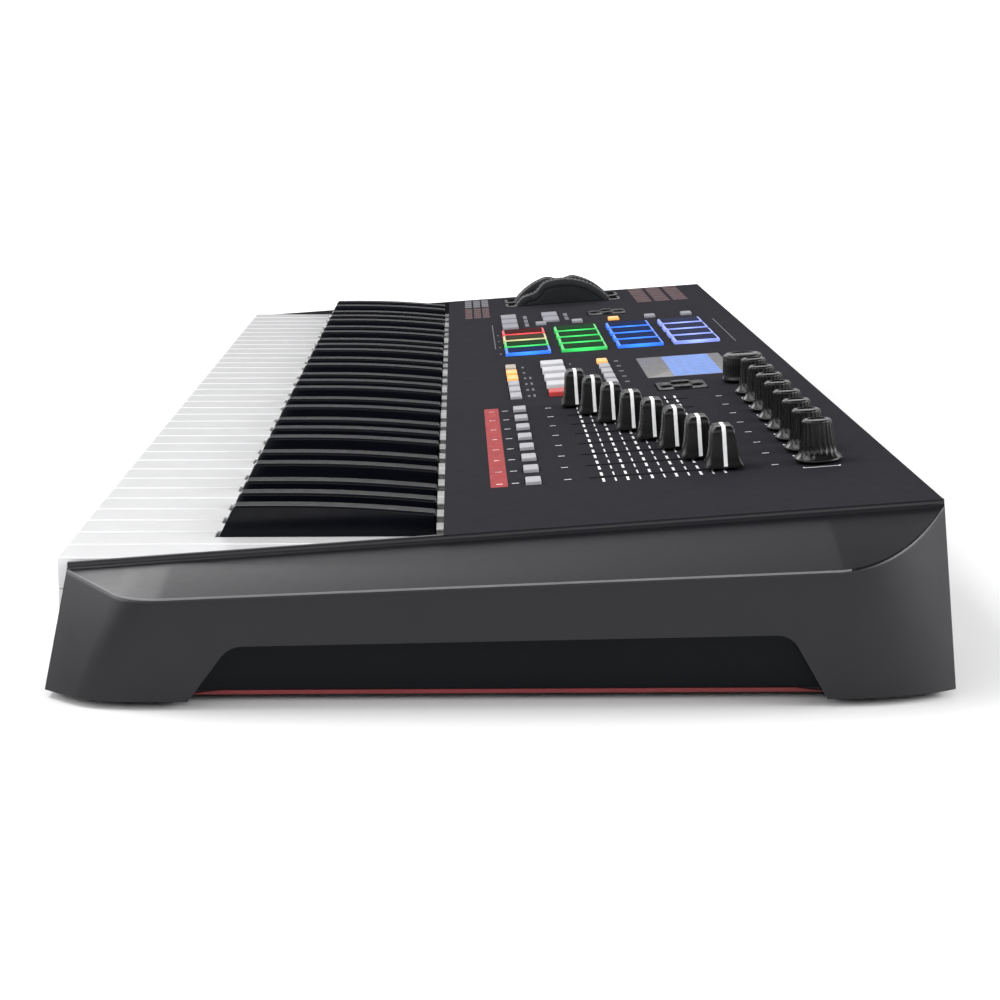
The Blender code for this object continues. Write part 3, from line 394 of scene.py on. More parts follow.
def make_looks():
    """Every finish of the object and the floor."""
    look("case", (0.0040, 0.0038, 0.0062), 0.36, grain=0.20, grain_size=0.45, mottling=0.03, wear=0.12,
         Specular_IOR_Level=0.40)
    look("panel", (0.023, 0.022, 0.027), 0.85, grain=0.20, grain_size=0.40, mottling=0.03,
         Specular_IOR_Level=0.02)
    # painted highlight: a light grey finish for the thin line along the end cap's crease, which stands in for
    # the light that the rounded crease catches
    look("painted_highlight", (0.16, 0.16, 0.17), 0.45, grain=0.1, mottling=0.1)
    # painted shade: a darker, less glossy copy of the case plastic for the recessed wall inside the arch,
    # where shade falls
    look("arch", (0.003, 0.0045, 0.006), 0.25, grain=0.05, Specular_IOR_Level=0.1)
    # painted reflection: a near-black finish for the thin line along the end cap's rear edge, drawn where the
    # rounded edge mirrors dark surroundings
    look("painted_dark_reflection", (0.003, 0.003, 0.003), 0.7, Specular_IOR_Level=0.1)
    look("base_red", (0.19, 0.020, 0.022), 0.5, grain=0.25)
    look("white_key", (0.80, 0.80, 0.805), 0.18, mottling=0.012, Coat_Weight=0.2, Coat_Roughness=0.08)
    look("black_key", (0.0025, 0.003, 0.0050), 0.16, mottling=0.10, Specular_IOR_Level=0.16)
    look("control", (0.0035, 0.0035, 0.004), 0.24, grain=0.04, mottling=0.04, wear=0.08,
         Specular_IOR_Level=0.24)
    look("gloss_black", (0.004, 0.004, 0.005), 0.28, mottling=0.1, Specular_IOR_Level=0.08)
    look("button_grey", (0.38, 0.38, 0.405), 0.6, grain=0.08, mottling=0.04)
    look("button_light", (0.58, 0.58, 0.60), 0.6, grain=0.08, mottling=0.04)
    look("button_dim", (0.24, 0.24, 0.27), 0.6, grain=0.08)
    look("button_red", (0.50, 0.030, 0.026), 0.5, grain=0.08)
    look("rubber", (0.010, 0.010, 0.010), 0.62, grain=0.4, grain_size=0.8, Specular_IOR_Level=0.25)
    look("tread", (0.008, 0.009, 0.010), 0.5, grain=0.3, grain_size=0.6, Specular_IOR_Level=0.25)
    look("ink_white", (0.92, 0.92, 0.92), 0.5, mottling=0.02)
    look("ink_grey", (0.13, 0.13, 0.15), 0.6, Specular_IOR_Level=0.2)
    look("ink_red", (0.33, 0.022, 0.024), 0.6, mottling=0.08, Specular_IOR_Level=0.15)
    look("ink_dull_red", (0.075, 0.030, 0.034), 0.6, Specular_IOR_Level=0.15)
    look("lens", (0.090, 0.084, 0.084), 0.35, mottling=0.10, Specular_IOR_Level=0.3)
    look("steel", (0.50, 0.50, 0.52), 0.30, grain=0.1, grain_size=1.5, Metallic=1.0)
    look("socket", (0.010, 0.010, 0.010), 0.35, grain=0.05)
    look("board", (0.015, 0.10, 0.04), 0.45, mottling=0.25, grain=0.2)
    far_glow(look("floor", (0.95, 0.95, 0.95), 0.75, mottling=0.002, Specular_IOR_Level=0.0))
    glow("amber", (1.0, 0.42, 0.10), 0.75)
    glow("amber_dim", (0.55, 0.46, 0.36), 0.15)
    glow("screen", (0.045, 0.17, 0.58), 0.45, 0.35)
    glow("screen_mark", (0.055, 0.20, 0.62), 0.48, 0.35)
    for light, (colour, strength) in PAD_COLOURS.items():
        lit_pad(light, colour, strength)
        dark = tuple(c * 0.04 + 0.001 for c in colour)
        material = look(f"{light}_top", dark, 0.7, grain=0.15, Specular_IOR_Level=0.02)
        shader = material.node_tree.nodes["Principled BSDF"]
        shader.inputs["Emission Color"].default_value = (*colour, 1)
        shader.inputs["Emission Strength"].default_value = strength * 0.035


PAD_COLOURS = {
    "pad_blue": ((0.02, 0.17, 0.95), 1.2),
    "pad_green": ((0.03, 0.62, 0.11), 0.85),
    "pad_yellow": ((0.70, 0.62, 0.30), 0.6),
    "pad_red": ((0.80, 0.05, 0.06), 0.8),
    "pad_lavender": ((0.25, 0.33, 0.90), 0.9),
}


# ---- Keys --------------------------------------------------------------------------------------
def tail_slot(index):
    """(low, high) of one of an octave's twelve equal-share key tails, from the octave's left."""
    first = 0
    for start, end, tails in TAIL_GROUPS:
        if index < first + tails:
            share = (end - start) * KEY_PITCH / tails
            low = start * KEY_PITCH + (index - first) * share
            return low, low + share
        first += tails
    raise ValueError(index)


BLACK_TAILS = (1, 3, 6, 8, 10)


def black_centre(octave_x, index):
    """The middle of one of an octave's five sharps."""
    low, high = tail_slot(BLACK_TAILS[index])
    return octave_x + (low + high) / 2


def white_key(name, octave_x, index, body, replaced, lone=False):
    """One natural: a wide head with a rounded front, and a tail that passes between its sharps."""
    left = octave_x + index * KEY_PITCH + KEY_GAP / 2
    right = left + KEY_PITCH - KEY_GAP
    reach = BLACK_HALF + BLACK_CLEARANCE
    sharps = [] if lone else [black_centre(octave_x, i) for i in range(len(BLACK_TAILS))]
    tail_left = max([left] + [x + reach for x in sharps if x - reach < left + 9 * MM < x + KEY_PITCH])
    tail_right = min([right] + [x - reach for x in sharps if x - KEY_PITCH < right - 9 * MM < x + reach])
    shoulder = BLACK_FRONT_Y - SHOULDER_GAP
    outline = [(left, WHITE_FRONT_Y), (right, WHITE_FRONT_Y), (right, shoulder)]
    if tail_right < right:
        outline.append((tail_right, shoulder))
    outline += [(tail_right, WHITE_REAR_Y), (tail_left, WHITE_REAR_Y)]
    if tail_left > left:
        outline.append((tail_left, shoulder))
    outline.append((left, shoulder))
    if lone:
        outline = [(left, WHITE_FRONT_Y), (right, WHITE_FRONT_Y), (right, WHITE_REAR_Y), (left, WHITE_REAR_Y)]
    bm = bmesh.new()
    loft(bm, [[(x, y, z) for x, y in outline] for z in (WHITE_TOP_Z - KEY_DEPTH, WHITE_TOP_Z)])
    front_z = (WHITE_TOP_Z - WHITE_FRONT_DEPTH, WHITE_TOP_Z - 11.4 * MM)
    box(bm, (left, right), (WHITE_FRONT_Y, shoulder), front_z)
    return piece(name, bm, "white_key", body, bevel=0.7 * MM, replaced=replaced)


def black_key(name, octave_x, index, body, replaced):
    """One sharp: a crowned, tapered body with a raked front, on a low tail."""
    x = black_centre(octave_x, index)
    rise = BLACK_TOP_Z - WHITE_TOP_Z
    half = BLACK_HALF * (1 - BLACK_TAPER)
    bottom = WHITE_TOP_Z - KEY_DEPTH
    sections = []
    for i in range(BLACK_SECTIONS + 1):
        t = i / BLACK_SECTIONS
        low_y = BLACK_FRONT_Y + (BLACK_REAR_Y - BLACK_FRONT_Y) * t
        top_y = low_y + (1 - t) * BLACK_RAKE
        top_z = WHITE_TOP_Z + rise - BLACK_DROP * t + BLACK_CROWN * math.sin(math.pi * t)
        sections.append([
            (x - BLACK_HALF, low_y, bottom), (x - BLACK_HALF, low_y, WHITE_TOP_Z), (x - half, top_y, top_z),
            (x + half, top_y, top_z), (x + BLACK_HALF, low_y, WHITE_TOP_Z), (x + BLACK_HALF, low_y, bottom),
        ])
    bm = bmesh.new()
    loft(bm, sections)
    tail_y = (BLACK_REAR_Y - 1 * MM, 7 * MM)
    box(bm, (x - BLACK_HALF, x + BLACK_HALF), tail_y, (bottom, WHITE_TOP_Z - 0.8 * MM))
    key = piece(name, bm, "black_key", body, bevel=1.1 * MM, replaced=replaced)
    key.modifiers["bevel"].segments = 5
    return key


def keys():
    """Sixty-one keys, each riding on its comb."""
    naturals = "cdefgab"
    for octave in range(1, OCTAVES + 1):
        x = KEYS_LEFT + (octave - 1) * WHITE_PER_OCTAVE * KEY_PITCH
        combs = [f"keys_{kind}_{octave}" for kind in (*WHITE_BODIES, "sharps")]
        for i, letter in enumerate(naturals):
            body = combs[i % 2]
            white_key(f"key_{letter}{octave}", x, i, body, [body] if i < 2 else [])
        for i, letter in enumerate("cdfga"):
            black_key(f"key_{letter}_sharp{octave}", x, i, combs[2], [combs[2]] if i == 0 else [])
    x = KEYS_LEFT + OCTAVES * WHITE_PER_OCTAVE * KEY_PITCH
    white_key("key_c6", x, 0, "key_top_c", ["key_top_c"], lone=True)


# ---- Case --------------------------------------------------------------------------------------
def panel_z(y):
    """The panel's height at a depth y."""
    return PANEL_FRONT.z + (y - PANEL_FRONT_Y) * SLOPE.z / SLOPE.y


def cap_paths(side):
    """The end cap's outer lines from front to rear, in finer steps than its solid's."""
    low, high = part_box("end_cap_right")
    base, wide, deep = low.z / MM, high.x / MM, high.y / MM
    edge = [Vector((428.5, -151.0, 39.4))]
    edge += curve_through((459.0, -130.5, 37.4), (467.5, -124.5, 37.2), (468.1, -113.0, 37.7), 8)
    edge += curve_through((468.2, 114.0, 46.5), (466.5, 136.0, 48.3), (427.5, deep - 0.2, 61.2), 28)
    foot = [Vector((451.0, -deep, base))]
    foot += curve_through((461.5, -145.0, base), (wide - 0.3, -137.5, base), (wide, -117.0, base), 8)
    foot += curve_through((wide, 116.0, base), (wide - 0.5, 140.0, base), (456.0, deep, base), 28)
    return [[Vector((side * p.x, p.y, p.z)) * MM for p in line] for line in (edge, foot)]


ARCH_LIP_Z = 3.9 * MM
# Radius of the two thin lines along the end cap's outer edge, and the depth from which the dark line runs
# rearward; both lines are painted light, the dark one a painted reflection and the light one a painted
# highlight.
EDGE_LINE_RADIUS = 0.42 * MM
DARK_LINE_FRONT_Y = 118 * MM


def end_cap(name, side):
    """The moulded end: a rim beside the keys, a step down to the facet, and the side wall."""
    inner_x, rim_x = 424.5 * MM, 426.6 * MM
    rear = CAD_BOX[1][1]
    rings = []
    for edge, foot in zip(*cap_paths(side)):
        inner_y = max(-152 * MM, min(edge.y, rear))
        base_y = foot.y if foot.y <= -rear else inner_y
        top = panel_z(inner_y)
        step = min(2.2 * MM, max(top - edge.z, 0.6 * MM))
        section = [
            Vector((side * inner_x, base_y, foot.z)),
            Vector((side * inner_x, inner_y, top)),
            Vector((side * rim_x, inner_y, top)),
            Vector((side * (rim_x + 0.5 * MM), inner_y, top - step)),
            edge,
            foot,
        ]
        rings.append(filleted(section, (0, 0.3 * MM, 0.9 * MM, 1.6 * MM, 1.3 * MM, 0.5 * MM)))
    rings[-1] = [Vector((p.x, rear, p.z)) for p in rings[-1]]
    bm = bmesh.new()
    loft(bm, rings)
    cap = piece(name, bm, "case", "case", sharp=30, replaced=[name])
    outline = [(-108 * MM, -1 * MM), *arch_corner((-91.5, 21.6), 5), *arch_corner((97.5, 24.6), 5, True)]
    outline.append((112 * MM, -1 * MM))
    cutter = bmesh.new()
    xs = (side * 457 * MM, side * 480 * MM)
    loft(cutter, [[(x, y, z) for y, z in outline] for x in xs])
    cut(cap, cutter, "arch")
    end = name.rsplit("_", 1)[1]
    for kind, finish, slot, low, high, thick in (
        # the recessed wall is the case's plastic, shown in its darker painted-shade copy
        ("arch_panel", "arch", "case_plastic", ARCH_LIP_Z, 30 * MM, 0.5 * MM),
        ("arch_lip", "base_red", "base_red", foot.z, ARCH_LIP_Z, 1.2 * MM),
    ):
        plate = bmesh.new()
        band = [(y, min(max(z, low), high)) for y, z in outline]
        loft(plate, [[(side * x, y, z) for y, z in band] for x in (457 * MM, 457 * MM + thick)])
        piece(f"{kind}_{end}", plate, finish, "case", sharp=30)
    path = cap_paths(side)[0]
    # Two thin tubes along the end cap's outer edge, both painted light: a dark one at the rear is a painted
    # reflection, a light one in front is a painted highlight.
    for kind, finish, points in (
        # at the rear: a dark line, a painted reflection of the rounded edge
        ("painted_dark_line", "painted_dark_reflection", [p for p in path if p.y >= DARK_LINE_FRONT_Y]),
        # in front: a light line, a painted highlight along the crease
        ("painted_highlight_line", "painted_highlight", [p for p in path if p.y < DARK_LINE_FRONT_Y]),
    ):
        line = bmesh.new()
        rings = []
        for point in points:
            back = -0.1 * MM if point.y > -120 * MM else 0.25 * MM
            centre = point + Vector((-side * 0.45 * MM, back, -0.1 * MM))
            rings.append([(centre.x + px, centre.y + 0.3 * py, centre.z + py) for px, py in circle(EDGE_LINE_RADIUS, 8)])
        loft(line, rings)
        piece(f"{kind}_{end}", line, finish, "case", sharp=60)


def arch_corner(point, size, falling=False):
    """A rounded top corner of the arch, as (y, z) points; sizes in millimetres."""
    y, z = point
    lean = 0.68 * size
    if falling:
        path = curve_through((y - size, z, 0), (y, z, 0), (y + lean * 0.8, z - size, 0), 8)
    else:
        path = curve_through((y - lean, z - size, 0), (y, z, 0), (y + size, z, 0), 8)
    return [(p.x * MM, p.y * MM) for p in path]


def cut(obj, bm, name, place=WORLD):
    """Cuts a shape out of a piece and applies the cut."""
    bmesh.ops.recalc_face_normals(bm, faces=bm.faces)
    mesh = bpy.data.meshes.new(name)
    bm.to_mesh(mesh)
    bm.free()
    cutter = bpy.data.objects.new(name, mesh)
    bpy.context.scene.collection.objects.link(cutter)
    cutter.matrix_world = place
    modifier = obj.modifiers.new("cut", "BOOLEAN")
    modifier.operation = "DIFFERENCE"
    modifier.object = cutter
    bpy.context.view_layer.update()
    evaluated = obj.evaluated_get(bpy.context.evaluated_depsgraph_get())
    result = bpy.data.meshes.new_from_object(evaluated)
    obj.modifiers.clear()
    obj.data = result
    bpy.data.objects.remove(cutter)
    result.shade_smooth()
    result.set_sharp_from_angle(angle=math.radians(30))


# ---- Knobs and faders --------------------------------------------------------------------------
KNOB_PROFILE = (  # radius and height in millimetres
    (9.0, 0.9), (9.38, 1.1), (9.4, 1.5), (8.9, 2.2), (8.1, 3.0), (7.45, 4.2), (7.0, 5.6), (6.7, 7.2),
    (6.45, 9.5), (6.2, 12.0), (5.95, 14.6), (5.85, 15.6), (5.65, 16.3), (5.2, 16.75), (4.6, 16.8),
    (4.1, 16.3), (2.0, 16.1), (0.6, 16.05),
)
DATA_KNOB_PROFILE = (
    (10.0, 0.9), (10.38, 1.2), (10.4, 2.0), (10.0, 2.6), (9.9, 4.0), (9.75, 8.0), (9.6, 12.2), (9.3, 13.2),
    (8.7, 13.75), (7.8, 13.8), (7.2, 13.3), (4.0, 13.0), (0.8, 12.95),
)
FLUTES = 22


def knob_wave(angle, height):
    """The flutes of a knob: deep in its middle, gone at its skirt and its top."""
    fade = max(0.0, min(1.0, (height - 2.2 * MM) / (2 * MM), (16.4 * MM - height) / (1.2 * MM)))
    return 1 - 0.055 * fade * abs(math.sin(FLUTES * angle / 2)) ** 0.7


def data_wave(angle, height):
    """The fine knurl of the data knob."""
    fade = max(0.0, min(1.0, (height - 2.6 * MM) / MM, (13.4 * MM - height) / MM))
    return 1 - 0.018 * fade * (1 + math.sin(40 * angle)) / 2


def knobs():
    """Eight fluted knobs with a flared skirt, and the wider data knob."""
    for i, x in enumerate(CHANNELS_X, 1):
        bm = bmesh.new()
        turned(bm, [(r * MM, z * MM) for r, z in KNOB_PROFILE], FLUTES * 8, knob_wave)
        name = f"knob_{i}"
        piece(f"{name}_cap", bm, "control", name, panel_place(x, KNOB_Y), sharp=60,
              replaced=[name])
    bm = bmesh.new()
    turned(bm, [(r * MM, z * MM) for r, z in DATA_KNOB_PROFILE], 240, data_wave)
    place = panel_place(*DATA_KNOB_XY)
    piece("data_knob_cap", bm, "control", "data_knob", place, sharp=60,
          replaced=["data_knob"])


FADER_LEVELS = (  # half size along x and up the slope, height; millimetres
    (7.1, 7.0, 1.0), (7.4, 7.3, 1.25), (7.4, 7.25, 1.9), (7.25, 6.7, 2.9), (7.1, 6.1, 4.2), (6.95, 5.6, 6.0),
    (6.8, 5.2, 8.5), (6.65, 4.9, 11.5), (6.5, 4.65, 14.2), (6.35, 4.45, 15.4), (6.0, 3.9, 16.6),
    (5.5, 3.2, 17.25), (4.9, 2.6, 17.4),
)
FADER_CORNER = 1.1 * MM
LINE_HALF = 0.75 * MM
LINE_LIFT = 0.06 * MM


def fader_places():
    """The rest places of the fader caps, which stand in a rising line."""
    step = FADER_TRAVEL / (len(CHANNELS_X) - 1)
    return [(x, FADER_BOTTOM_Y + step * i) for i, x in enumerate(CHANNELS_X)]


def faders():
    """Tall caps with scooped sides and a white line over the top."""
    for i, (x, y) in enumerate(fader_places(), 1):
        name = f"fader_cap_{i}"
        bm = bmesh.new()
        rings = []
        for a, b, z in FADER_LEVELS:
            outline = rounded_rectangle((2 * a * MM, 2 * b * MM), FADER_CORNER)
            rings.append([(px, py, z * MM) for px, py in outline])
        loft(bm, rings)
        box(bm, (-0.6 * MM, 0.6 * MM), (-2 * MM, 2 * MM), (-8 * MM, 1.2 * MM))
        piece(f"{name}_body", bm, "control", name, panel_place(x, y), sharp=38,
              replaced=[name])
        side = [((a * MM + LINE_LIFT), z * MM) for a, _, z in FADER_LEVELS if z >= 1.9]
        over = [(px, pz + (LINE_LIFT if pz > 16 * MM else 0)) for px, pz in side]
        outer = over + [(-px, pz) for px, pz in reversed(over)]
        inner = [(px - math.copysign(0.25 * MM, px), pz - 0.25 * MM) for px, pz in outer]
        line = bmesh.new()
        rings = [[(px, py, pz) for px, pz in outer + inner[::-1]] for py in (-LINE_HALF, LINE_HALF)]
        loft(line, rings)
        piece(f"{name}_line", line, "ink_white", name, panel_place(x, y), sharp=30)


# ---- Buttons and pads --------------------------------------------------------------------------
BUTTON_LOOKS = {
    "channel_switch_mat": ["button_grey"] * 8,
    "transport_mat": ["button_red"] + ["button_light"] * 4,
    "bank_mat": ["button_grey"] * 3 + ["amber", "amber", "amber_dim"],
    "preset_mat": ["button_grey"] * 4 + ["amber"],
    "performance_mat": ["button_dim"] * 7 + ["amber"] + ["button_dim"] * 2,
}


def buttons():
    """The caps of the five button mats."""
    for mat, rows in BUTTON_ROWS.items():
        stem = mat.removesuffix("_mat")
        places = []
        for first, step, count, size in rows:
            places += [((first[0] + i * step[0], first[1] + i * step[1]), size) for i in range(count)]
        for i, ((xy, size), finish) in enumerate(zip(places, BUTTON_LOOKS[mat])):
            bm = bmesh.new()
            rise = TRANSPORT_RISE if stem == "transport" else BUTTON_RISE
            button(bm, (0, 0), size, (-3 * MM, rise), 0.7 * MM, 0.45 * MM, dish=0.12 * MM)
            piece(f"{stem}_button_{i + 1}", bm, finish, mat, panel_place(*xy), sharp=50,
                  replaced=[mat] if i == 0 else [])


PAD_LIGHTS = (
    ("pad_blue", "pad_green", "pad_yellow", "pad_red"),
    ("pad_green",) * 4,
    ("pad_blue",) * 4,
    ("pad_lavender",) * 4,
)


def pads():
    """Sixteen lit pads: a glowing skirt under a dark rubber top."""
    x0, y0 = PAD_FIRST_XY
    for j, row in enumerate(PAD_LIGHTS):
        for i, light in enumerate(row):
            place = panel_place(x0 - i * PAD_PITCH, y0 + j * PAD_PITCH)
            name = f"pad_{j * 4 + i + 1}"
            skirt = bmesh.new()
            button(skirt, (0, 0), (PAD_SIZE, PAD_SIZE), (-3 * MM, PAD_RISE - 0.25 * MM), 1.6 * MM, 0.7 * MM)
            piece(f"{name}_light", skirt, light, "pad_mat", place, sharp=50,
                  replaced=["pad_mat"] if (i, j) == (0, 0) else [])
            top = bmesh.new()
            size = PAD_SIZE - 2.6 * MM
            button(top, (0, 0), (size, size), (1.0 * MM, PAD_RISE), 1.6 * MM, 0.3 * MM, dish=0.05 * MM)
            piece(f"{name}_top", top, f"{light}_top", "pad_mat", place, sharp=50)


ROUND_KEY_PROFILE = ((3.6, 0), (3.6, 1.0), (3.2, 1.35), (1.5, 1.2))


def cursor_pads():
    """Two four-way clusters: keys round a centre, on a glossy plate."""
    for node, round_keys in (("cursor_pad", False), ("transport_pad", True)):
        low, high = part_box(node)
        centre = (low + high) / 2
        local = PANEL.inverted() @ centre
        place = PANEL @ Matrix.Translation((local.x, local.y, 0))
        plate = bmesh.new()
        button(plate, (0, 0), (28 * MM, 24 * MM), (-3 * MM, 0.5 * MM), 3.0 * MM, 0.4 * MM)
        piece(f"{node}_plate", plate, "gloss_black", node, place, replaced=[node])
        for k, (dx, dy) in enumerate(((1, 0), (0, 1), (-1, 0), (0, -1)), 1):
            key = bmesh.new()
            centre_xy = (dx * 8.8 * MM, dy * 7.6 * MM)
            if round_keys:
                turned(key, [(r * MM, z * MM) for r, z in ROUND_KEY_PROFILE], 40)
                bmesh.ops.translate(key, verts=key.verts, vec=(*centre_xy, 0))
            else:
                size = (6.4 * MM, 9.5 * MM) if dx else (9.5 * MM, 5.6 * MM)
                button(key, centre_xy, size, (0, 1.35 * MM), 1.8 * MM, 0.5 * MM, dish=0.2 * MM)
            piece(f"{node}_key_{k}", key, "gloss_black", node, place, sharp=50)
            mark = bmesh.new()
            tip = Vector((dx, dy)) * 1.1 * MM
            side = Vector((-dy, dx)) * 0.9 * MM
            middle = Vector(centre_xy)
            corners = [middle + tip, middle - tip * 0.4 + side, middle - tip * 0.4 - side]
            loft(mark, [[(p.x, p.y, z) for p in corners] for z in (1.1 * MM, 1.38 * MM)])
            piece(f"{node}_arrow_{k}", mark, "ink_grey", node, place)


# ---- Display -----------------------------------------------------------------------------------
def display():
    """The window: a smoked lens with a lit area, and plain bars where figures would be."""
    low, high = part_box("display")
    inset = 4 * MM
    x0, x1 = low.x + inset, high.x - inset
    y0, y1 = up_slope(82.3 * MM), up_slope(127 * MM)
    top = -0.05 * MM
    bm = bmesh.new()
    button(bm, ((x0 + x1) / 2, (y0 + y1) / 2), (x1 - x0, y1 - y0), (-3 * MM, top), 0.6 * MM, 0.2 * MM)
    piece("display_lens", bm, "lens", "case", PANEL, replaced=["display"])
    lit = (y0 + 13.5 * MM, y1 - 6.5 * MM)
    bm = bmesh.new()
    box(bm, (x0 + 1.2 * MM, x1 - 1.2 * MM), lit, (top - 0.2 * MM, top + 0.04 * MM))
    piece("display_lit_area", bm, "screen", "case", PANEL)
    bm = bmesh.new()
    for row in range(4):
        y = lit[0] + (3.2 + 5.6 * row) * MM
        for column in range(8):
            length = (3.0 + 2.4 * ((column * 3 + row * 5) % 4)) * MM
            x = x0 + (4 + 9.6 * column) * MM
            box(bm, (x, min(x + length, x1 - 3 * MM)), (y, y + 2.2 * MM), (top, top + 0.07 * MM))
    piece("display_bars", bm, "screen_mark", "case", PANEL)


# ---- Prints ------------------------------------------------------------------------------------
INK_HEIGHT = (-0.03 * MM, 0.05 * MM)
TICK_ROWS_Y = [(42.0 + 4.7 * i) * MM for i in range(11)]


def bar(bm, x, y, z=INK_HEIGHT):
    """A printed bar between two x and two y in the keyboard's frame."""
    box(bm, x, [up_slope(v) for v in y], z)


def numeral(bm, text, x, y, height, z):
    """A printed number, centred."""
    curve = bpy.data.curves.new("numeral", "FONT")
    curve.body = text
    curve.size = height * 1.4
    curve.align_x = curve.align_y = "CENTER"
    curve.extrude = 0.02 * MM
    obj = bpy.data.objects.new("numeral", curve)
    bpy.context.scene.collection.objects.link(obj)
    obj.matrix_world = Matrix.Translation((x, up_slope(y), z))
    bpy.context.view_layer.update()
    mesh = bpy.data.meshes.new_from_object(obj.evaluated_get(bpy.context.evaluated_depsgraph_get()))
    mesh.transform(obj.matrix_world)
    bm.from_mesh(mesh)
    bpy.data.objects.remove(obj)


def stripe_block(bm, x, y, across, along):
    """Plain blocks in rows, which stand in for lettering; ranges in millimetres."""
    dx, dy = (x[1] - x[0]) / across, (y[1] - y[0]) / along
    for i in range(across):
        for j in range(along):
            left, front = x[0] + i * dx, y[0] + j * dy
            bar(bm, (left * MM, (left + dx * 0.8) * MM), (front * MM, (front + dy * 0.8) * MM))


def prints():
    """Scales, labels and blocks on the panel, without any lettering but numerals."""
    red, white, grey, dull = (bmesh.new() for _ in range(4))
    bar(red, (CHANNELS_X[0] - 10 * MM, CHANNELS_X[-1] + 6.5 * MM), (-1.6 * MM, 5.1 * MM))
    for i, x in enumerate(CHANNELS_X, 1):
        numeral(white, str(i), x, 1.7 * MM, 2.6 * MM, 0.07 * MM)
        for y0, y1 in ((6.7, 9.5), (27.1, 29.9), (107.8, 110.6)):
            bar(white, (x - 0.4 * MM, x + 0.4 * MM), (y0 * MM, y1 * MM))
        for row, y in enumerate(TICK_ROWS_Y):
            half = (0.5 if row % 2 == 0 else 0.28) * MM
            bar(white, (x + 3 * MM, x + 10.5 * MM), (y - half, y + half))
            bar(white, (x - 10.5 * MM, x - 3.4 * MM), (y - half, y + half))
        bracket = x + 12 * MM
        bar(white, (bracket - 0.3 * MM, bracket + 0.3 * MM), (118.6 * MM, 133 * MM))
        for y in (118.6, 132.5):
            bar(white, (bracket - 1.6 * MM, bracket), (y * MM, (y + 0.5) * MM))
    for i in range(6):
        x = (88.3 - 22.6 * i) * MM
        bar(grey, (x - 3 * MM, x + 3 * MM), (20.4 * MM, 21.6 * MM))
        if i < 4:
            bar(grey, (x - 4.5 * MM, x + 4.5 * MM), (23.2 * MM, 24.2 * MM))
    for i in range(5):
        x = (60.7 - 21.3 * i) * MM
        bar(grey, (x - 2 * MM, x + 2 * MM), (70.2 * MM, 72.4 * MM))
        x = 88 * MM - i * CHANNEL_PITCH
        bar(grey, (x - 2.5 * MM, x + 2.5 * MM), (46.0 * MM, 47.0 * MM))
    bar(grey, (-248 * MM, -118 * MM), (7.8 * MM, 8.3 * MM))
    bar(grey, (-198 * MM, -77 * MM), (141.8 * MM, 142.3 * MM))
    for i in range(4):
        x = PAD_FIRST_XY[0] - i * PAD_PITCH
        bar(grey, (x - 2 * MM, x + 2 * MM), (10.2 * MM, 11.2 * MM))
    stripe_block(grey, (-418, -368), (-8.6, 8.6), 4, 3)
    stripe_block(dull, (-362, -296), (-8.6, 8.6), 5, 3)
    stripe_block(dull, (-423, -325), (106, 142), 8, 3)
    stripe_block(grey, (-291, -222), (28.5, 31.5), 3, 1)
    stripe_block(grey, (-291, -246), (54.5, 57.5), 2, 1)
    for name, bm in (("red", red), ("white", white), ("grey", grey), ("dull_red", dull)):
        piece(f"print_{name}", bm, f"ink_{name}", "case", PANEL)


# ---- Wheels ------------------------------------------------------------------------------------
WHEEL_RADIUS = 41 * MM
WHEEL_SECTOR = math.radians(83)
NOTCH_DEPTH = 3.0 * MM
NOTCH_HALF_ANGLE = math.radians(15)
NOTCH_CENTRES = {"pitch_wheel": 0.0, "mod_wheel": math.radians(-30)}
WHEEL_PROFILE = (  # across the rim: x and depth below the rim, millimetres
    (-8.0, 30.0), (-8.0, 6.0), (-7.6, 5.6), (-7.6, 4.2), (-8.0, 3.8), (-8.0, 1.1), (-7.6, 0.35), (-6.9, 0.0),
    (-5.6, 0.0), (-5.4, 0.5), (5.4, 0.5), (5.6, 0.0), (6.9, 0.0), (7.6, 0.35), (8.0, 1.1), (8.0, 3.8),
    (7.6, 4.2), (7.6, 5.6), (8.0, 6.0), (8.0, 30.0),
)
TREADS = 42


